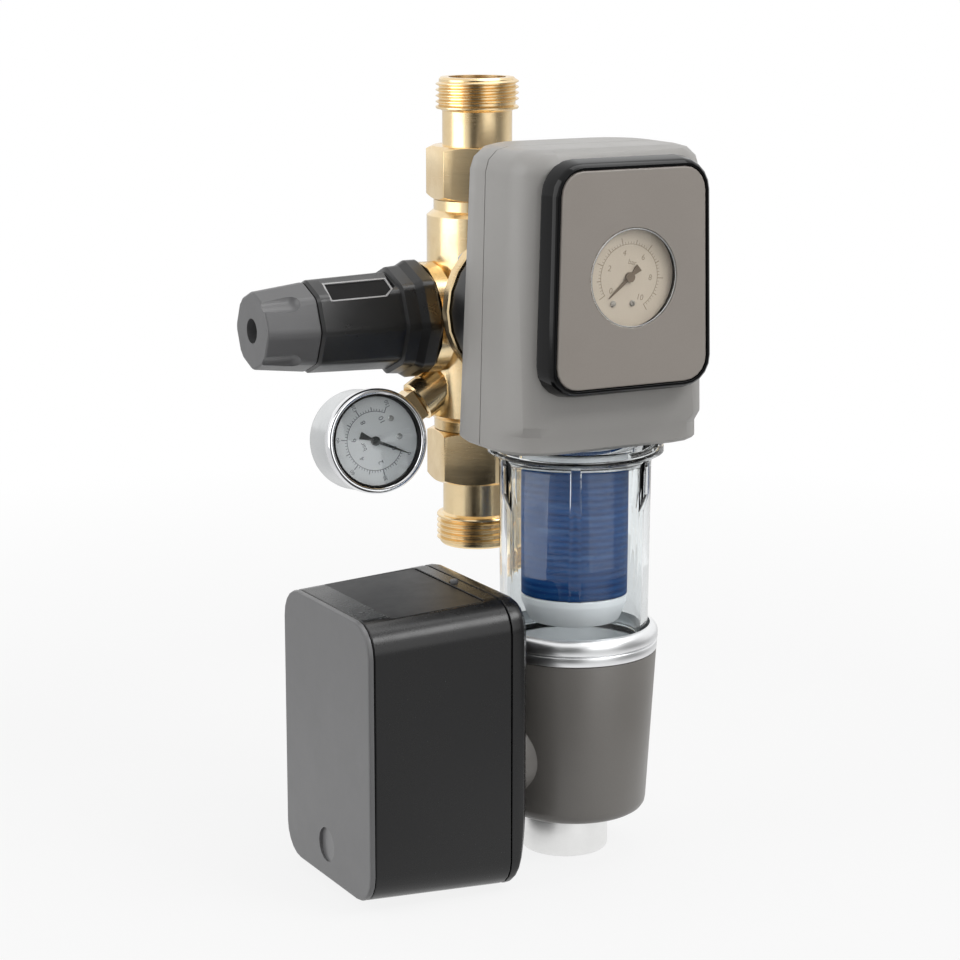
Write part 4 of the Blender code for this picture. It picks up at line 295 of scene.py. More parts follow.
def add_less(tree, value):
    """One minus a value."""
    return add_math(tree, "SUBTRACT", 1.0, value)


def add_squeeze(tree, vector, factors):
    """A vector times fixed factors, which draws a pattern out along the small ones."""
    node = tree.nodes.new("ShaderNodeVectorMath")
    node.operation = "MULTIPLY"
    node.inputs[1].default_value = factors
    tree.links.new(vector, node.inputs[0])
    return node.outputs[0]


def add_bump(tree, height, strength, distance):
    bump = tree.nodes.new("ShaderNodeBump")
    bump.inputs["Distance"].default_value = distance
    feed(tree, strength, bump.inputs["Strength"])
    tree.links.new(height, bump.inputs["Height"])
    return bump.outputs["Normal"]


def add_mix(tree, factor, first, second):
    """A colour between two others."""
    node = tree.nodes.new("ShaderNodeMix")
    node.data_type = "RGBA"
    for slot_name, given in (("Factor_Float", factor), ("A_Color", first), ("B_Color", second)):
        feed(tree, given, next(s for s in node.inputs if s.identifier == slot_name))
    return next(s for s in node.outputs if s.identifier == "Result_Color")


def mix_to_surface(tree, factor, first, second):
    """Shows a mix of two shaders as the surface of a material."""
    both = tree.nodes.new("ShaderNodeMixShader")
    tree.links.new(factor, both.inputs[0])
    tree.links.new(first.outputs[0], both.inputs[1])
    tree.links.new(second.outputs[0], both.inputs[2])
    tree.links.new(both.outputs[0], tree.nodes["Material Output"].inputs["Surface"])


# %% Moulded plastic group
def build_moulded_group():
    """Spark grain, faint flow patches and handling marks of a moulded surface."""
    group, given, out = start_group(
        "moulded_skin",
        [
            ("Vector", "NodeSocketVector", (0, 0, 0)),
            ("Light", "NodeSocketColor", (0.5, 0.5, 0.5, 1)),
            ("Dark", "NodeSocketColor", (0.4, 0.4, 0.4, 1)),
            ("Grain Scale", "NodeSocketFloat", 2200.0),
            ("Grain Height", "NodeSocketFloat", 0.12),
            ("Gloss Low", "NodeSocketFloat", 0.35),
            ("Gloss High", "NodeSocketFloat", 0.5),
        ],
        [("Color", "NodeSocketColor"), ("Roughness", "NodeSocketFloat"), ("Normal", "NodeSocketVector")],
    )
    patches = add_noise(group, given.outputs["Vector"], 18.0, 4.0)
    grain = add_noise(group, given.outputs["Vector"], given.outputs["Grain Scale"], 2.0)
    marks = add_noise(group, given.outputs["Vector"], 90.0, 6.0, 0.7)
    blend = add_range(group, patches, 0.3, 0.7, 0.0, 1.0)
    speck = add_range(group, grain, 0.35, 0.65, 0.0, 1.0)
    both = add_math(
        group, "ADD", add_math(group, "MULTIPLY", blend, 0.7), add_math(group, "MULTIPLY", speck, 0.3)
    )
    colour = add_mix(group, both, given.outputs["Dark"], given.outputs["Light"])
    group.links.new(colour, out.inputs["Color"])
    rough = add_range(group, marks, 0.3, 0.7, given.outputs["Gloss Low"], given.outputs["Gloss High"])
    group.links.new(rough, out.inputs["Roughness"])
    normal = add_bump(group, grain, given.outputs["Grain Height"], 0.2 * mm)
    group.links.new(normal, out.inputs["Normal"])
    return group


# %% Turned metal group
def build_turned_group():
    """Fine rings that a cutting tool leaves round the axis, over soft tarnish patches."""
    group, given, out = start_group(
        "turned_metal",
        [
            ("Vector", "NodeSocketVector", (0, 0, 0)),
            ("Bright", "NodeSocketColor", (0.8, 0.6, 0.3, 1)),
            ("Tarnish", "NodeSocketColor", (0.6, 0.4, 0.2, 1)),
            ("Ring Height", "NodeSocketFloat", 0.15),
            ("Gloss Low", "NodeSocketFloat", 0.15),
            ("Gloss High", "NodeSocketFloat", 0.35),
        ],
        [("Color", "NodeSocketColor"), ("Roughness", "NodeSocketFloat"), ("Normal", "NodeSocketVector")],
    )
    rings = add_noise(group, add_squeeze(group, given.outputs["Vector"], (0.03, 0.03, 1.0)), 3200.0, 2.0)
    patches = add_noise(group, given.outputs["Vector"], 60.0, 5.0, 0.65)
    tarnish = add_range(group, patches, 0.42, 0.72, 0.0, 1.0)
    colour = add_mix(group, tarnish, given.outputs["Bright"], given.outputs["Tarnish"])
    group.links.new(colour, out.inputs["Color"])
    mixed = add_math(
        group, "ADD", add_math(group, "MULTIPLY", patches, 0.6), add_math(group, "MULTIPLY", rings, 0.4)
    )
    rough = add_range(group, mixed, 0.35, 0.65, given.outputs["Gloss Low"], given.outputs["Gloss High"])
    group.links.new(rough, out.inputs["Roughness"])
    normal = add_bump(group, rings, given.outputs["Ring Height"], 0.08 * mm)
    group.links.new(normal, out.inputs["Normal"])
    return group


moulded_group = build_moulded_group()
turned_group = build_turned_group()
print("groups:", moulded_group.name, turned_group.name)

# %% [markdown]
# ## Finishes
# Each finish is one Principled shader with a group in front of it. Values that are the same all over,
# such as metallic or the level of the highlight, sit on the shader itself. The pale colours are
# written a little lighter than they look in the photograph, because a lit surface never gives back
# all of its light, and the blacks a little darker, because their gloss adds some.

# %% Plastics
def grouped_material(name, group, values, turn=None):
    """A material whose colour, roughness and normal come from one group."""
    material = bpy.data.materials.new(name)
    material.use_nodes = True
    tree = material.node_tree
    shader = tree.nodes["Principled BSDF"]
    place = tree.nodes.new("ShaderNodeTexCoord")
    vector = place.outputs["Object"]
    if turn is not None:
        mapping = tree.nodes.new("ShaderNodeMapping")
        mapping.vector_type = "TEXTURE"
        mapping.inputs["Location"].default_value = turn.translation
        mapping.inputs["Rotation"].default_value = turn.to_euler()
        tree.links.new(vector, mapping.inputs["Vector"])
        vector = mapping.outputs["Vector"]
    effect = tree.nodes.new("ShaderNodeGroup")
    effect.node_tree = group
    tree.links.new(vector, effect.inputs["Vector"])
    for label, value in values.items():
        effect.inputs[label].default_value = value
    tree.links.new(effect.outputs["Color"], shader.inputs["Base Color"])
    tree.links.new(effect.outputs["Roughness"], shader.inputs["Roughness"])
    tree.links.new(effect.outputs["Normal"], shader.inputs["Normal"])
    return material, shader


def plastic(name, light, dark, gloss, grain=0.12, scale=2200.0, level=0.5):
    material, shader = grouped_material(
        name,
        moulded_group,
        {
            "Light": light, "Dark": dark, "Grain Scale": scale, "Grain Height": grain,
            "Gloss Low": gloss[0], "Gloss High": gloss[1],
        },
    )
    shader.inputs["Specular IOR Level"].default_value = level
    return material


shell_grey = plastic("shell_grey_finish", tone(158, 156, 153), tone(152, 150, 147), (0.34, 0.46), 0.1)
panel_taupe = plastic("panel_taupe_finish", tone(153, 146, 139), tone(147, 140, 133), (0.3, 0.4), 0.06)
gloss_black = plastic("gloss_black_finish", tone(10, 10, 11), tone(8, 8, 9), (0.05, 0.1), 0.02, 900.0, 0.22)
bonnet_black = plastic(
    "bonnet_black_finish", tone(22, 22, 23), tone(18, 18, 19), (0.26, 0.34), 0.1, 2200.0, 0.6
)
knob_grey = plastic("knob_grey_finish", tone(100, 100, 101), tone(94, 94, 95), (0.3, 0.42), 0.12)
cone_grey = plastic("cone_grey_finish", tone(122, 119, 115), tone(115, 112, 108), (0.3, 0.4), 0.08)
box_black = plastic("box_black_finish", tone(20, 20, 21), tone(17, 17, 18), (0.24, 0.3), 0.03, 2200.0, 0.45)
box_plate = plastic("box_plate_finish", tone(106, 106, 107), tone(101, 101, 102), (0.3, 0.38), 0.05)
top_black = plastic("top_panel_finish", tone(30, 30, 31), tone(28, 28, 29), (0.32, 0.4), 0.01, 2200.0, 0.2)
rubber_black = plastic("rubber_finish", tone(35, 35, 35), tone(28, 28, 28), (0.6, 0.8), 0.3, 1400.0, 0.3)
cap_white = plastic("cap_white_finish", tone(243, 244, 245), tone(237, 238, 239), (0.3, 0.42), 0.04)
dial_white = plastic("dial_white_finish", tone(247, 249, 251), tone(243, 245, 247), (0.4, 0.5), 0.03)
dial_warm = plastic("dial_warm_finish", tone(208, 202, 195), tone(203, 197, 190), (0.4, 0.5), 0.03)
board_green = plastic("board_green_finish", tone(30, 90, 55), tone(24, 78, 46), (0.3, 0.4), 0.05)
print_grey = plastic("print_grey_finish", tone(96, 98, 112), tone(88, 90, 102), (0.5, 0.6), 0.02)
print_warm = plastic("print_warm_finish", tone(156, 146, 133), tone(147, 138, 126), (0.5, 0.6), 0.02)
needle_black = plastic("needle_black_finish", tone(30, 34, 34), tone(24, 28, 28), (0.3, 0.4), 0.04)
needle_warm = plastic("needle_warm_finish", tone(128, 117, 107), tone(118, 108, 99), (0.35, 0.45), 0.04)

# %% Metals
def metal(name, bright, tarnish, gloss, rings=0.15, turn=None):
    material, shader = grouped_material(
        name,
        turned_group,
        {
            "Bright": bright, "Tarnish": tarnish, "Ring Height": rings,
            "Gloss Low": gloss[0], "Gloss High": gloss[1],
        },
        turn,
    )
    shader.inputs["Metallic"].default_value = 1.0
    return material


brass = metal("brass_finish", tone(246, 222, 178), tone(233, 204, 156), (0.17, 0.28), 0.05)
gauge_steel = metal(
    "gauge_steel_finish", tone(212, 214, 215), tone(202, 205, 206), (0.16, 0.26), 0.06, gauge_place
)
steel = metal("steel_finish", tone(190, 190, 190), tone(175, 175, 175), (0.25, 0.4), 0.1)
chrome = metal("chrome_finish", tone(235, 236, 238), tone(226, 227, 230), (0.03, 0.08), 0.02, gauge_place)
ring_chrome = metal("ring_chrome_finish", tone(240, 241, 242), tone(234, 235, 236), (0.3, 0.36), 0.03)
nozzle_satin = metal("nozzle_satin_finish", tone(240, 240, 239), tone(233, 233, 232), (0.3, 0.4), 0.06)
print("metals:", [m.name for m in (brass, gauge_steel, steel, chrome, ring_chrome, nozzle_satin)])

# %% [markdown]
# ## Clear plastic
# The bowl and the two windows are clear. A glass shader with a real index bends what is behind it.
# A see-through alpha would be quicker, but it shows no bright rims. The roughness carries faint
# handling marks, and the transmission itself stays one plain value. Lamps shine straight through,
# so that what stands in the bowl is lit as in daylight.

# %% Clear finishes
def clear_material(name, colour, index, gloss):
    material = bpy.data.materials.new(name)
    material.use_nodes = True
    tree = material.node_tree
    shader = tree.nodes["Principled BSDF"]
    shader.inputs["Base Color"].default_value = colour
    shader.inputs["Transmission Weight"].default_value = 1.0
    shader.inputs["IOR"].default_value = index
    place = tree.nodes.new("ShaderNodeTexCoord")
    marks = add_noise(tree, place.outputs["Object"], 120.0, 5.0, 0.7)
    tree.links.new(add_range(tree, marks, 0.4, 0.75, gloss[0], gloss[1]), shader.inputs["Roughness"])
    path = tree.nodes.new("ShaderNodeLightPath")
    through = tree.nodes.new("ShaderNodeBsdfTransparent")
    through.inputs["Color"].default_value = colour
    mix_to_surface(tree, path.outputs["Is Shadow Ray"], shader, through)
    return material


bowl_clear = clear_material("bowl_clear_finish", tone(246, 249, 250), 1.45, (0.0, 0.04))
glass_clear = clear_material("gauge_glass_finish", tone(250, 252, 252), 1.45, (0.0, 0.03))
lens_clear = clear_material("window_lens_finish", tone(247, 244, 238), 1.4, (0.0, 0.05))

# %% [markdown]
# ## The blue screen
# The filter screen is a sleeve of woven blue threads, far too fine to model one by one. Its weave
# could be a bump alone, but at this distance it reads as thin rings of lighter and darker blue, so
# a fine wave in height colours it, broken up by noise.

# %% Screen finish
def screen_material():
    material = bpy.data.materials.new("screen_blue_finish")
    material.use_nodes = True
    tree = material.node_tree
    shader = tree.nodes["Principled BSDF"]
    place = tree.nodes.new("ShaderNodeTexCoord")
    vector = place.outputs["Object"]
    rings = tree.nodes.new("ShaderNodeTexWave")
    rings.wave_type = "BANDS"
    rings.bands_direction = "Z"
    rings.inputs["Scale"].default_value = 120.0
    rings.inputs["Distortion"].default_value = 0.8
    rings.inputs["Detail"].default_value = 2.0
    rings.inputs["Detail Scale"].default_value = 2.0
    tree.links.new(vector, rings.inputs["Vector"])
    streaks = add_noise(tree, add_squeeze(tree, vector, (0.15, 0.15, 1.0)), 420.0, 3.0, 0.6)
    fold = add_noise(tree, vector, 40.0, 3.0)
    weave = add_math(tree, "MULTIPLY", rings.outputs["Fac"], 0.3)
    lit = add_math(tree, "ADD", weave, add_math(tree, "MULTIPLY", streaks, 0.7))
    lit = add_range(tree, lit, 0.25, 0.8, 0.0, 1.0)
    blue = add_mix(tree, lit, tone(12, 46, 90), tone(24, 76, 132))
    ridges = add_noise(tree, add_squeeze(tree, vector, (0.12, 0.12, 1.0)), 260.0, 2.0, 0.5)
    ridge = add_range(tree, ridges, 0.58, 0.74, 0.0, 0.45)
    blue = add_mix(tree, ridge, blue, tone(86, 120, 160))
    blue = add_mix(tree, add_range(tree, fold, 0.4, 0.7, 0.0, 0.5), blue, tone(26, 58, 104))
    tree.links.new(blue, shader.inputs["Base Color"])
    shader.inputs["Specular IOR Level"].default_value = 0.05
    tree.links.new(add_range(tree, streaks, 0.3, 0.7, 0.45, 0.65), shader.inputs["Roughness"])
    tree.links.new(add_bump(tree, rings.outputs["Fac"], 0.12, 0.3 * mm), shader.inputs["Normal"])
    return material


screen_blue = screen_material()

# %% [markdown]
# ## A finish for every solid
# Solids that keep their own shape take a finish by their slot. It could be set one by one, but the
# record already says which slot each solid belongs to.

# %% Finish by slot
finish_of_slot = {
    "brass": brass, "steel": steel, "chrome": chrome, "rubber": rubber_black,
    "black_plastic": bonnet_black, "gloss_black": gloss_black, "knob_grey": knob_grey,
    "shell_grey": shell_grey, "panel_taupe": panel_taupe, "cone_grey": cone_grey,
    "white_plastic": cap_white, "screen_blue": screen_blue, "clear_plastic": bowl_clear,
    "box_black": box_black, "box_plate": box_plate, "board_green": board_green,
}
for node, solid in nodes.items():
    for number, old in enumerate(solid.data.materials):
        solid.data.materials[number] = finish_of_slot[old.name.split(".")[0]]
print("finished", len(nodes), "solids by slot")

# %% [markdown]
# ## Softened solids
# Castings and mouldings never have knife edges: a small radius catches the light and draws the
# outline of the form. A live Bevel modifier could do it on a clean mesh. The solids arrive as loose
# triangles, so a copy of each is merged, its flats are made whole, and then its corners are rounded.

# %% Soften the larger mouldings
for node, width, over in (
    ("connector_body", 0.5, 24), ("reducer_bonnet", 0.45, 24),
    ("head_core", 0.4, 30), ("head_rear_shell", 0.5, 30), ("head_front_cover", 0.5, 30),
    ("panel_frame", 0.35, 30), ("front_panel", 0.3, 30), ("actuator_case", 0.5, 30),
    ("actuator_back_cover", 0.6, 30), ("actuator_end_cover", 0.5, 30), ("actuator_top_panel", 0.25, 30),
    ("flush_button", 0.2, 30), ("outlet_gauge_stem", 0.4, 30),
):
    softened_copy(node, finish_of_slot[slot_of[node]], width * mm, over)
for number in range(1, 5):
    softened_copy(f"flange_bolt_{number}", steel, 0.3 * mm)
bpy.data.objects["actuator_top_panel_finished"].data.materials[0] = top_black

# %% [markdown]
# ## Pressure knob
# The knob is an eight sided tapered cup with four finger flutes. On the real knob the flutes lie on
# the corners between its sides and run out softly. They could be cut with a straight bar, but a
# cutter with a round end leaves the shallow shape that a finger expects.

# %% Knob
KNOB_BIG = 18.2 * mm
KNOB_SMALL = 15.7 * mm
knob_low, knob_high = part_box("pressure_knob")
knob_start, knob_end = -knob_high[0], -knob_low[0]
knob = bmesh.new()
bmesh.ops.create_cone(
    knob, cap_ends=True, segments=8, radius1=KNOB_BIG, radius2=KNOB_SMALL, depth=knob_end - knob_start,
    matrix=Matrix.Translation((0, 0, (knob_start + knob_end) / 2)),
)
corners = [e for e in knob.edges if abs(e.verts[0].co.z - e.verts[1].co.z) > 1 * mm]
round_edges(knob, corners, 2.2 * mm, 4)
rims = [e for e in knob.edges if any(abs(f.normal.z) > 0.9 for f in e.link_faces)]
round_edges(knob, rims, 0.9 * mm, 3)
FLUTE = 6.0 * mm
FLUTE_DEPTH = 1.5 * mm
reach = knob_end + 8 * mm
stop = knob_start + 6.5 * mm
for number in range(4):
    finger = turn_outline([
        (0, reach), (FLUTE, reach), (FLUTE, stop + 4.2 * mm), (FLUTE * 0.93, stop + 2.2 * mm),
        (FLUTE * 0.72, stop + 0.7 * mm), (FLUTE * 0.4, stop), (0, stop),
    ], 40)
    bmesh.ops.translate(finger, vec=(KNOB_SMALL - FLUTE_DEPTH + FLUTE, 0, 0), verts=finger.verts)
    turn_about_axis(finger, -45 + 90 * number)
    knob = combine(knob, finger, "DIFFERENCE")
cup = turn_outline([(r * mm, z) for r, z in (
    (0, knob_start - 1 * mm), (6.2, knob_start - 1 * mm), (6.2, knob_start + 8 * mm),
    (12.7, knob_start + 8 * mm), (12.7, knob_end - 6 * mm), (4.9, knob_end - 4 * mm),
    (4.9, knob_end + 1 * mm), (0, knob_end + 1 * mm))], 48)
knob = combine(knob, cup, "DIFFERENCE")
knob_piece = add_piece("pressure_knob_fluted", knob, TO_LEFT, knob_grey, "pressure_knob", sharp=32)
even_shading(knob_piece)
print("knob:", len(knob_piece.data.polygons), "faces")

# %% [markdown]
# ## Name plate field
# A flat field is sunk into the upper edge of the bonnet for a name plate, and stays bare here. On the
# real moulding a thin raised line follows its border and catches the light, and the floor inside it
# is matt. It could be left to the corner rounding, but that is too fine to show, so the line is its
# own raised strip, and its light grey colour on the black bonnet is a painted highlight.

# %% Border and floor of the field
def flat_plate(points, low, high, margin=0.0):
    """A plate between two heights, its outline drawn in by a margin."""
    bm = bmesh.new()
    face = bm.faces.new([bm.verts.new((x * mm, y * mm, low)) for x, y in points])
    bm.normal_update()
    if margin:
        rim = bmesh.ops.inset_region(
            bm, faces=[face], use_boundary=True, thickness=margin, use_even_offset=True
        )["faces"]
        bmesh.ops.delete(bm, geom=rim, context="FACES")
    thicken(bm, bm.faces[:], (0, 0, high - low))
    return bm


field = [(-43.0, -1.6), (-43.4, 5.6), (-70.9, 5.6), (-71.3, -5.6), (-47.4, -5.6)]
taper = Matrix.Rotation(math.atan2(0.8, 35.4), 4, "Y")
middle = Matrix.Translation((-56.85 * mm, 0, 0))
lean = Matrix.Rotation(math.radians(32), 4, "X") @ middle @ taper.inverted() @ middle.inverted()
FIELD_FLOOR = 16.6 * mm
BORDER_WIDTH = 0.75 * mm
border = flat_plate(field, FIELD_FLOOR, FIELD_FLOOR + 0.6 * mm)
opening = flat_plate(field, FIELD_FLOOR - 1 * mm, FIELD_FLOOR + 2 * mm, BORDER_WIDTH)
border = combine(border, opening, "DIFFERENCE")
# Painted highlight: the border strip is light grey, standing for the light that its raised line catches.
border_painted_highlight = plastic("border_painted_highlight_finish", tone(176, 176, 177), tone(168, 168, 169), (0.3, 0.4), 0.05)
field_matt = plastic("field_matt_finish", tone(22, 22, 23), tone(18, 18, 19), (0.6, 0.7), 0.2, 1600.0, 0.15)
border_piece = add_piece("name_plate_border", border, lean, border_painted_highlight, slot="black_plastic", sharp=30)
plate = flat_plate(field, FIELD_FLOOR - 0.2 * mm, FIELD_FLOOR + 0.22 * mm, BORDER_WIDTH - 0.1 * mm)
add_piece("name_plate_floor", plate, lean, field_matt, slot="black_plastic", sharp=30)
print("border:", len(border_piece.data.polygons), "faces")

# %% [markdown]
# ## Brass tails
# Each end of the run is a tail with a G1 thread, a neck and a crowned hexagon for the spanner. The
# crown comes from the lathe, so the hexagon is kept only where a turned form reaches. A thread
# could be a stack of rings, but a real one climbs, so one ridge is spun along a helix.

# %% Tails
THREAD_TOP = 16.6 * mm
THREAD_ROOT = 15.3 * mm
PITCH = 2.309 * mm
HEX_FLATS = 36.2 * mm
HEX_CORNER = HEX_FLATS / 2 / math.cos(math.pi / 6)


def thread_ridge(low, high):
    """One closed ridge of trapezium section that climbs a helix between two heights."""
    per_turn = 60
    turns = (high - low) / PITCH
    bm = bmesh.new()
    half = PITCH / 2
    section = [(THREAD_ROOT - 0.3 * mm, -half * 0.92), (THREAD_TOP, -half * 0.16),
               (THREAD_TOP, half * 0.16), (THREAD_ROOT - 0.3 * mm, half * 0.92)]
    face = bm.faces.new([bm.verts.new((x, 0.0, low + z)) for x, z in section])
    steps = int(per_turn * turns)
    bmesh.ops.spin(
        bm, geom=[face], cent=(0, 0, 0), axis=(0, 0, 1), dvec=(0, 0, PITCH / per_turn),
        angle=2 * math.pi * steps / per_turn, steps=steps, use_duplicate=False,
    )
    bmesh.ops.recalc_face_normals(bm, faces=bm.faces)
    return bm


def make_tail(node, side):
    """A turned tail with its hexagon and thread; side is 1 for the upper end and -1 for the lower."""
    bm = turn_mm((
        (11.5, 38.6), (14.8, 38.6), (14.8, 48.8), (14.0, 66.0), (14.0, 81.6), (15.0, 82.4), (16.3, 82.5),
        (16.6, 82.9), (16.6, 83.4), (15.3, 84.2), (15.3, 94.2), (14.6, 95.0), (11.5, 95.0)))
    hexagon = bmesh.new()
    bmesh.ops.create_cone(
        hexagon, cap_ends=True, segments=6, radius1=HEX_CORNER, radius2=HEX_CORNER, depth=21.2 * mm,
        matrix=Matrix.Translation((0, 0, 57.4 * mm)) @ Matrix.Rotation(math.radians(52) * side, 4, "Z"),
    )
    crown = turn_outline([
        (13.0 * mm, 46.8 * mm), (HEX_FLATS / 2 - 0.3 * mm, 46.8 * mm), (HEX_CORNER + 0.1 * mm, 48.5 * mm),
        (HEX_CORNER + 0.1 * mm, 66.3 * mm), (HEX_FLATS / 2 - 0.3 * mm, 68.0 * mm), (13.0 * mm, 68.0 * mm),
    ])
    hexagon = soften(combine(hexagon, crown, "INTERSECT"), 0.25 * mm, 25)
    ridge = thread_ridge(84.3 * mm, 93.9 * mm)
    merge_into(bm, hexagon)
    merge_into(bm, ridge)
    turn = UPRIGHT if side > 0 else Matrix.Rotation(math.pi, 4, "X")
    return add_piece(node + "_threaded", bm, spot(turn=turn), brass, node, sharp=32)


for node, side in (("inlet_tail", 1), ("outlet_tail", -1)):
    tail = make_tail(node, side)
    print(tail.name, len(tail.data.polygons), "faces")

# %% [markdown]
# ## Dials
# A dial is printed card: an arc, ticks outside it and numbers on both sides of it. The print could
# be painted into the material, but thin raised shapes stay crisp and need no picture. Both dials
# hang a few degrees off upright, as they do when a gauge is screwed tight.

# %% Dial print
SCALE_SPAN = 270.0


def add_number(bm, text, size, radius, angle, upright, height):
    """A printed number: text made into a mesh before it is placed."""
    curve = bpy.data.curves.new("number", "FONT")
    curve.body = text
    curve.size = size
    curve.align_x = "CENTER"
    curve.align_y = "CENTER"
    curve.extrude = 0.02 * mm
    curve.resolution_u = 3
    obj = bpy.data.objects.new("number", curve)
    bpy.context.scene.collection.objects.link(obj)
    mesh = bpy.data.meshes.new_from_object(obj.evaluated_get(bpy.context.evaluated_depsgraph_get()))
    bpy.data.objects.remove(obj)
    turn = Matrix.Rotation(upright, 4, "Z")
    mesh.transform(Matrix.Translation((radius * math.cos(angle), radius * math.sin(angle), height)) @ turn)
    bm.from_mesh(mesh)
    bpy.data.meshes.remove(mesh)


def dial_print(radius, turn_degrees, height, outer):
    """Arc, ticks and numbers of one dial on its own axis."""
    start = math.radians(225 + turn_degrees)
    span = math.radians(SCALE_SPAN)
    thick = 0.05 * mm
    arc = radius * 0.66
    rim = arc + 0.22 * mm
    top = height + thick
    bm = turn_outline([(arc, height), (rim, height), (rim, top), (arc, top)], 72, span)
    bmesh.ops.rotate(bm, cent=(0, 0, 0), matrix=Matrix.Rotation(start - span, 3, "Z"), verts=bm.verts)
    for i in range(51):
        major = i % 10 == 0
        middle = i % 5 == 0
        far = arc + radius * (0.15 if major else 0.1 if middle else 0.06)
        width = 0.16 * mm if middle else 0.1 * mm
        tick = bar((arc, far), (-width, width), (height, top))
        step = Matrix.Rotation(start - span * i / 50, 3, "Z")
        bmesh.ops.rotate(tick, cent=(0, 0, 0), matrix=step, verts=tick.verts)
        merge_into(bm, tick)
    upright = math.radians(turn_degrees)
    low = height + 0.5 * thick
    for i in range(6):
        angle = start - span * i / 5
        add_number(bm, str(2 * i), radius * 0.17, radius * 0.5, angle, upright, low)
        if outer:
            add_number(bm, str(30 * i), radius * 0.12, radius * 0.88, angle, upright, low)
    add_number(bm, "bar", radius * 0.15, radius * 0.3, math.radians(90 + turn_degrees), upright, low)
    return bm


def dial_screws(spots, height):
    """Two small cheese head screws that hold the card, each with its slot."""
    bm = bmesh.new()
    for x, y, turn in spots:
        head = turn_mm(((0, 0), (1.15, 0), (1.15, 0.45), (0.9, 0.7), (0, 0.75)), 32)
        slot = bar((-2 * mm, 2 * mm), (-0.16 * mm, 0.16 * mm), (0.4 * mm, 1 * mm))
        bmesh.ops.rotate(slot, cent=(0, 0, 0), matrix=Matrix.Rotation(turn, 3, "Z"), verts=slot.verts)
        head = combine(head, slot, "DIFFERENCE")
        bmesh.ops.translate(head, vec=(x, y, height), verts=head.verts)
        merge_into(bm, head)
    return bm


# %% [markdown]
# ## Outlet gauge
# The gauge is a pressed steel can with a chrome bezel rolled over its glass. Both are turned here
# with round lips, because a rim of chrome is read by the bands that it mirrors.

# %% Gauge can, bezel, glass and dial
can = turn_mm((
    (0, -13), (17.6, -13), (18.9, -12.7), (19.8, -12.1), (20.3, -11.2), (20.4, -10.2), (20.4, 8.1),
    (19.6, 8.1), (19.6, 7.7), (18.0, 7.7), (18.0, -11.4), (0, -11.4)))
add_piece("outlet_gauge_can", can, gauge_place, gauge_steel, "outlet_gauge_case", sharp=30)
bezel = turn_mm((
    (19.9, 8.4), (20.8, 8.4), (21.0, 8.7), (21.0, 11.5), (20.9, 12.1), (20.6, 12.6), (20.1, 12.9),
    (19.6, 13.0), (19.0, 12.85), (18.6, 12.5), (18.4, 12.0), (18.4, 11.8), (19.9, 11.8)))
add_piece("outlet_gauge_rim", bezel, gauge_place, chrome, "outlet_gauge_bezel", sharp=40)
glass = turn_mm(((0, 10.5), (19.6, 10.5), (19.6, 11.3), (19.3, 11.5), (0, 11.5)))
add_piece("outlet_gauge_pane", glass, gauge_place, glass_clear, "outlet_gauge_glass", sharp=30)
card = turn_mm(((1, 8), (19.3, 8), (19.3, 8.8), (1, 8.8)))
add_piece("outlet_gauge_card", card, gauge_place, dial_white, "outlet_gauge_dial", sharp=30)
wall = turn_mm(((17.8, 8.8), (19.3, 8.8), (19.3, 10.45), (17.8, 10.45)))
add_piece("outlet_gauge_spacer", wall, gauge_place, rubber_black, slot="rubber", sharp=30)
seal = turn_mm(((17.7, 11.55), (18.35, 11.55), (18.35, 12.4), (18.1, 12.6), (17.8, 12.3)))
add_piece("outlet_gauge_seal", seal, gauge_place, rubber_black, slot="rubber", sharp=30)
printed = dial_print(17.7 * mm, -10, 8.79 * mm, True)
add_piece("outlet_gauge_print", printed, gauge_place, print_grey, slot="black_plastic", sharp=30)
screws = dial_screws([(-4.6 * mm, -9.4 * mm, 0.6), (3.4 * mm, -10.6 * mm, 1.9)], 8.75 * mm)
add_piece("outlet_gauge_screws", screws, gauge_place, steel, slot="steel", sharp=30)
softened_copy("outlet_gauge_needle", needle_black, 0.08 * mm)

# %% [markdown]
# ## Window gauge
# The inlet gauge sits behind the round window in the front panel. Only its warm grey card, its
# needle and two screws show, with a bright line where the edge of the lens catches the light.

# %% Lens, card and print
lens = turn_mm((
    (0, 118.31), (18.2, 118.31), (18.2, 119.4), (18.0, 119.65), (17.6, 119.71), (0, 119.71)))
add_piece("window_pane", lens, window_place, lens_clear, "window_lens", sharp=30)
edge = turn_mm(((17.75, 119.6), (18.15, 119.6), (18.15, 119.75), (17.95, 119.79), (17.75, 119.75)))
add_piece("window_lens_edge", edge, window_place, gauge_steel, slot="chrome", sharp=60)
card = turn_mm(((1, 115.11), (18.5, 115.11), (18.5, 115.91), (1, 115.91)))
add_piece("window_card", card, window_place, dial_warm, "inlet_gauge_dial", sharp=30)
printed = dial_print(18.0 * mm, -14, 115.9 * mm, False)
add_piece("window_print", printed, window_place, print_warm, slot="black_plastic", sharp=30)
screws = dial_screws([(-6.8 * mm, -9.3 * mm, 0.4), (1.4 * mm, -9.6 * mm, 2.0)], 115.86 * mm)
add_piece("window_screws", screws, window_place, steel, slot="steel", sharp=30)
softened_copy("inlet_gauge_needle", needle_warm, 0.08 * mm)

# %% [markdown]
# ## Clear bowl and screen
# The bowl is moulded in clear plastic with a flange, a thick wall and six grip ribs with drafted
# sides, whose feet slope back into the wall. The ribs could just stand in the wall, but a Boolean
# joins them, so that light meets one body and no hidden faces. Inside stand the blue screen and its
# white foot.

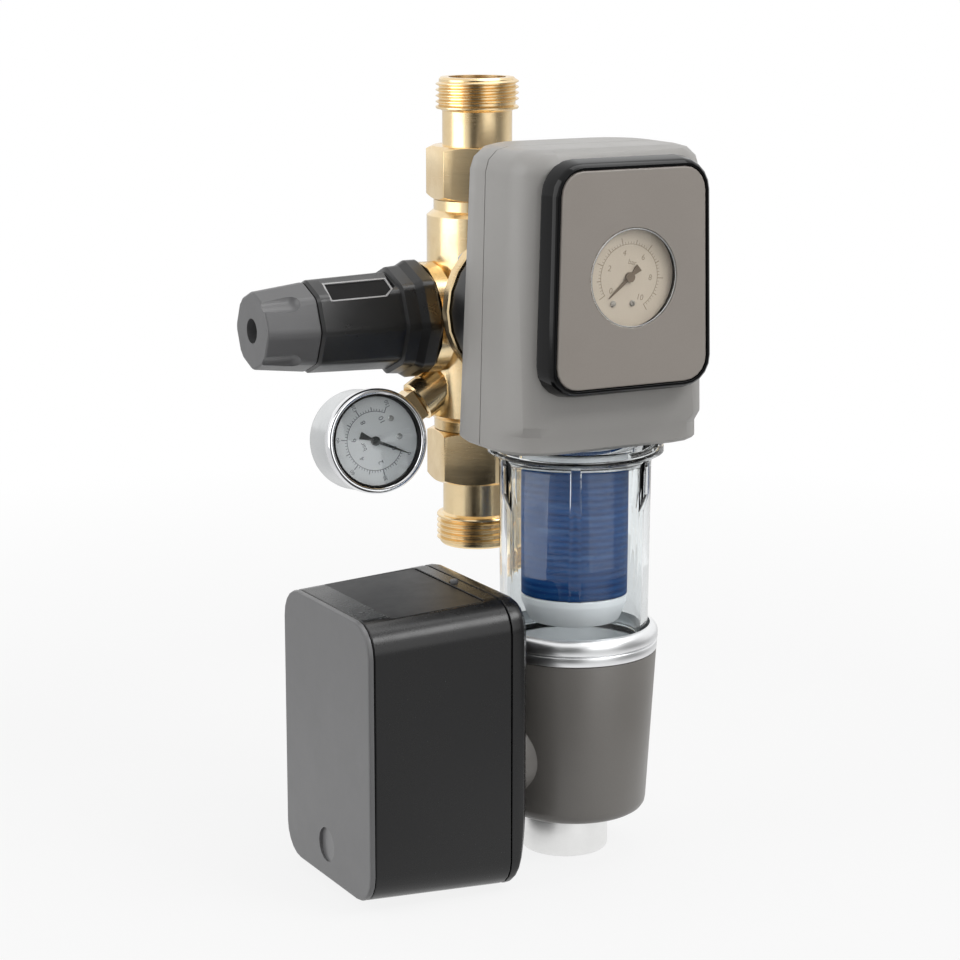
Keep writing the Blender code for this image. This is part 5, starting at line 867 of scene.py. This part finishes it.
# %% Bowl
bowl = turn_mm((
    (21.6, -20), (24.6, -20), (24.6, -38), (33.5, -38), (33.9, -38.4), (33.9, -42.1), (33.5, -42.5),
    (31.4, -43.2), (30.2, -44.1), (29.5, -45.2), (29.2, -46.6), (28.6, -115.5), (25.6, -115.5), (26.2, -45.9),
    (25.4, -43.9), (23.6, -42.8), (21.6, -42.5)), 72)
RIBS = 6
RIB_WIDTH = 4.7 * mm
RIB_DRAFT = 0.72
rib_side = [(27.6, -42.8), (31.2, -42.8), (31.2, -56.4), (29.0, -63.2), (27.6, -63.2)]
for number in range(RIBS):
    rib = bmesh.new()
    face = rib.faces.new([rib.verts.new((r * mm, -RIB_WIDTH / 2, z * mm)) for r, z in rib_side])
    thicken(rib, [face], (0, RIB_WIDTH, 0))
    bmesh.ops.scale(rib, vec=(1, RIB_DRAFT, 1), verts=[v for v in rib.verts if v.co.x > 30 * mm])
    soften(rib, 0.16 * mm, 10)
    turn_about_axis(rib, 360 / RIBS * number)
    bowl = combine(bowl, rib, "UNION")
bowl_piece = add_piece("filter_bowl_clear", bowl, spot(y=BOWL_Y), bowl_clear, "filter_bowl", sharp=38)
print("bowl:", len(bowl_piece.data.polygons), "faces")

# %% Screen, its foot and its head
sleeve = turn_mm((
    (18.8, -97), (20.1, -97), (20.2, -96.8), (20.2, -45.2), (20.1, -45), (18.8, -45)))
add_piece("screen_sleeve_woven", sleeve, spot(y=BOWL_Y), screen_blue, "screen_sleeve", sharp=40)
foot = turn_mm((
    (0, -100.3), (13, -100.3), (13, -107.6), (13.4, -108), (16.6, -108), (17.5, -107.2), (20.0, -100.5),
    (20.2, -99.8), (20.2, -97.5), (20.0, -97.3), (18.5, -97.3), (18.5, -45), (15.5, -45), (15.5, -96),
    (0, -96)))
add_piece("screen_foot", foot, spot(y=BOWL_Y), cap_white, "screen_support", sharp=35)
head = turn_mm((
    (9, -44.7), (20.0, -44.7), (20.2, -44.5), (20.2, -41.3), (19.9, -40.9), (13.6, -39), (13.6, -13),
    (9, -13)))
add_piece("screen_head", head, spot(y=BOWL_Y), cap_white, "screen_top_cap", sharp=35)

# %% [markdown]
# ## Drain
# A polished ring clamps the bowl to a tapered housing, and a satin nozzle closes it below. All are
# turned. The housing also carries the round port towards the actuator, joined with a Boolean. Its
# inside is white, which a second finish on the faces near the axis gives.

# %% Ring, housing and nozzle
ring = turn_mm((
    (29.5, -120), (32.0, -120), (32.25, -119.7), (32.4, -116.8), (32.2, -116.45), (31.9, -116.3),
    (31.9, -116.0), (32.3, -115.7), (32.6, -115.2), (32.6, -113.1), (32.3, -112.1), (31.7, -111.2),
    (30.9, -110.5), (30.0, -110.05), (29.5, -110)))
add_piece("bowl_ring_polished", ring, spot(y=BOWL_Y), ring_chrome, "bowl_ring", sharp=45)
housing = turn_mm((
    (0, -184.6), (24.1, -184.6), (25.8, -184.26), (27.3, -183.3), (28.3, -181.8), (28.6, -180.1),
    (32.1, -120.7), (31.9, -120.35), (31.6, -120.3), (29.2, -120.3), (29.2, -118.1), (25, -118.1),
    (25, -128), (12, -146), (0, -146)))
PORT_HEIGHT = -159 * mm
INSIDE_RADIUS = 29.3 * mm
INSIDE_FLOOR = -147 * mm
port = turn_mm(((0, 18), (16, 18), (16, 40.8), (15.6, 41.2), (0, 41.2)))
bmesh.ops.transform(port, matrix=spot(z=PORT_HEIGHT, turn=TO_LEFT), verts=port.verts)
housing = combine(housing, port, "UNION")
well = turn_mm(((0, -190), (13, -190), (13, -166), (0, -166)))
bmesh.ops.translate(well, vec=(VALVE_X, 0, 0), verts=well.verts)
housing = combine(housing, well, "DIFFERENCE")
housing_piece = add_piece(
    "drain_housing_smooth", housing, spot(y=BOWL_Y), cone_grey, "drain_housing", sharp=35
)
housing_piece.data.materials.append(cap_white)
for face in housing_piece.data.polygons:
    middle = face.center
    inside = math.hypot(middle.x, middle.y - BOWL_Y) < INSIDE_RADIUS and middle.z > INSIDE_FLOOR
    face.material_index = 1 if inside else 0
nozzle = turn_mm((
    (8.5, -169.7), (12.6, -169.7), (12.6, -184.9), (16.4, -184.9), (16.8, -185.1), (16.9, -185.6),
    (16.9, -198.7), (16.8, -199.5), (16.4, -200.1), (15.9, -200.3), (11.4, -200.3), (11.0, -199.9),
    (11.0, -190.3), (8.5, -188.3)))
add_piece("drain_nozzle_satin", nozzle, spot(x=VALVE_X, y=BOWL_Y), nozzle_satin, "drain_nozzle", sharp=35)

# %% [markdown]
# ## Studio
# The photograph is a packshot: a white sweep, one large soft lamp high on the left and a darker
# room in front of the object, which keeps the black gloss deep. A lit white wall could give the
# background, but it would flood the object, so only camera and glass rays see it white. What mirrors
# see changes round the room, from bright walls to the dark side where the camera stood, and the floor
# follows it from some way off.

# %% Walls of the room
# (degrees, level), from the left at 0 by the front at 90 and the right at 180 to the back at 270
WALLS = [
    (0, 1.0), (30, 1.0), (42, 0.1), (68, 0.1), (82, 0.95), (108, 0.95), (117, 0.3), (145, 0.3),
    (170, 0.8), (185, 1.0), (360, 1.0),
]


def build_walls_group():
    """How bright the room is in each direction round the object, as mirrors see it."""
    group, given, out = start_group(
        "room_walls", [("Vector", "NodeSocketVector", (0, 0, 0))], [("Level", "NodeSocketFloat")]
    )
    parts = group.nodes.new("ShaderNodeSeparateXYZ")
    group.links.new(given.outputs["Vector"], parts.inputs[0])
    angle = add_math(group, "ARCTAN2", parts.outputs["Y"], parts.outputs["X"])
    ramp = group.nodes.new("ShaderNodeValToRGB")
    group.links.new(add_range(group, angle, -math.pi, math.pi, 0.0, 1.0), ramp.inputs["Fac"])
    stops = ramp.color_ramp.elements
    for number, (degrees, level) in enumerate(WALLS):
        stop = stops[number] if number < 2 else stops.new(degrees / 360)
        stop.position = degrees / 360
        stop.color = (level, level, level, 1)
    group.links.new(ramp.outputs["Color"], out.inputs["Level"])
    return group


walls_group = build_walls_group()


def walls_level(tree, vector):
    walls = tree.nodes.new("ShaderNodeGroup")
    walls.node_tree = walls_group
    tree.links.new(vector, walls.inputs["Vector"])
    return walls.outputs["Level"]


print("walls:", len(WALLS), "stops")

# %% World
world = bpy.data.worlds.new("studio")
bpy.context.scene.world = world
world.use_nodes = True
tree = world.node_tree
tree.nodes.clear()
place = tree.nodes.new("ShaderNodeTexCoord")
split = tree.nodes.new("ShaderNodeSeparateXYZ")
tree.links.new(place.outputs["Generated"], split.inputs[0])
above = add_range(tree, split.outputs["Z"], 0.5, 0.72, 0.0, 1.0)
mirror = add_math(tree, "MAXIMUM", walls_level(tree, place.outputs["Generated"]), above)
path = tree.nodes.new("ShaderNodeLightPath")
first = add_range(tree, path.outputs["Diffuse Depth"], 0.0, 1.0, 1.0, 0.7)
clear = add_math(tree, "MULTIPLY", path.outputs["Is Transmission Ray"], first)
seen = add_math(tree, "ADD", path.outputs["Is Camera Ray"], clear, clamp=True)
SOFT_LIGHT = 0.36
level = add_math(tree, "MULTIPLY", path.outputs["Is Glossy Ray"], mirror)
rest = add_math(tree, "MULTIPLY", add_less(tree, path.outputs["Is Glossy Ray"]), SOFT_LIGHT)
level = add_math(tree, "MAXIMUM", add_math(tree, "ADD", level, rest), seen)
background = tree.nodes.new("ShaderNodeBackground")
background.inputs["Color"].default_value = (1, 1, 1, 1)
tree.links.new(level, background.inputs["Strength"])
out = tree.nodes.new("ShaderNodeOutputWorld")
tree.links.new(background.outputs[0], out.inputs["Surface"])

# %% Floor
FLOOR_HEIGHT = -200.6 * mm
FLOOR_RADIUS = 9.0
bm = bmesh.new()
bmesh.ops.create_circle(
    bm, cap_ends=True, segments=64, radius=FLOOR_RADIUS, matrix=Matrix.Translation((0, 0, FLOOR_HEIGHT))
)
mesh = bpy.data.meshes.new("floor")
bm.to_mesh(mesh)
bm.free()
floor = bpy.data.objects.new("floor", mesh)
bpy.context.scene.collection.objects.link(floor)
paper = bpy.data.materials.new("floor_paper")
paper.use_nodes = True
tree = paper.node_tree
shader = tree.nodes["Principled BSDF"]
shader.inputs["Base Color"].default_value = tone(205, 205, 205)
shader.inputs["Roughness"].default_value = 0.9
shader.inputs["Specular IOR Level"].default_value = 0.1
glow = tree.nodes.new("ShaderNodeEmission")
path = tree.nodes.new("ShaderNodeLightPath")
clear = add_math(tree, "ADD", path.outputs["Is Transmission Ray"], path.outputs["Is Glossy Ray"], clamp=True)
clear = add_math(tree, "MULTIPLY", clear, add_math(tree, "LESS_THAN", path.outputs["Diffuse Depth"], 0.5))
seen = add_math(tree, "ADD", path.outputs["Is Camera Ray"], clear, clamp=True)
place = tree.nodes.new("ShaderNodeTexCoord")
walls = walls_level(tree, place.outputs["Object"])
length = tree.nodes.new("ShaderNodeVectorMath")
length.operation = "LENGTH"
tree.links.new(place.outputs["Object"], length.inputs[0])
dark = add_less(tree, add_math(tree, "MULTIPLY", walls, 0.75))
dark = add_math(tree, "MULTIPLY", dark, add_range(tree, length.outputs["Value"], 0.25, 0.38, 0.0, 1.0))
dimmed = add_math(tree, "MULTIPLY", path.outputs["Is Glossy Ray"], dark)
tree.links.new(add_less(tree, dimmed), glow.inputs["Strength"])
far = add_range(tree, length.outputs["Value"], 0.32, 0.7, 0.86, 1.0)
mix_to_surface(tree, add_math(tree, "MULTIPLY", seen, far), shader, glow)
mesh.materials.append(paper)

# %% Lamps
AIM = (0.0, -0.05, -0.05)


def add_lamp(name, position, width, height, power):
    """A flat lamp that looks at the middle of the object; metres and watts."""
    lamp = bpy.data.lights.new(name, "AREA")
    lamp.shape = "RECTANGLE"
    lamp.size = width
    lamp.size_y = height
    lamp.energy = power
    obj = bpy.data.objects.new(name, lamp)
    bpy.context.scene.collection.objects.link(obj)
    obj.location = position
    obj.rotation_euler = (Vector(AIM) - Vector(position)).to_track_quat("-Z", "Y").to_euler()


add_lamp("key_left", (-1.39, 0.1, 0.45), 1.2, 1.5, 12.0)
add_lamp("top", (0.4, 0.0, 1.4), 1.0, 1.0, 7.0)
add_lamp("front_right_high", (0.65, -0.98, 1.08), 0.8, 0.5, 9.0)
add_lamp("fill_front", (0.45, -1.85, 0.5), 1.5, 1.1, 4.5)
print("lamps:", len(bpy.data.lights))

# %% [markdown]
# ## Camera
# The lens is long, as in most packshots, and looks a little down from the front left. Its place was
# measured from the edges of the box, the run and the bowl in the photograph. It could be framed by
# eye, but a measured camera lets every piece be compared point by point.

# %% Camera
LENS = 96.975
CAMERA_PLACE = (-0.4953, -0.9145, 0.1537)
camera = bpy.data.objects.new("camera", bpy.data.cameras.new("camera"))
bpy.context.scene.collection.objects.link(camera)
camera.data.sensor_width = 36.0
camera.data.lens = LENS
camera.data.clip_end = 50.0
right = Vector((0.8788, -0.4772, 0.0)).normalized()
back = Vector((-0.4666, -0.8593, 0.2096)).normalized()
up = back.cross(right).normalized()
turn = Matrix((right, up, back)).transposed().to_4x4()
camera.matrix_world = Matrix.Translation(CAMERA_PLACE) @ turn
bpy.context.scene.camera = camera
print("lens:", LENS, "mm")

# %% Finish
bpy.context.scene.view_settings.view_transform = "Standard"
bpy.context.view_layer.update()
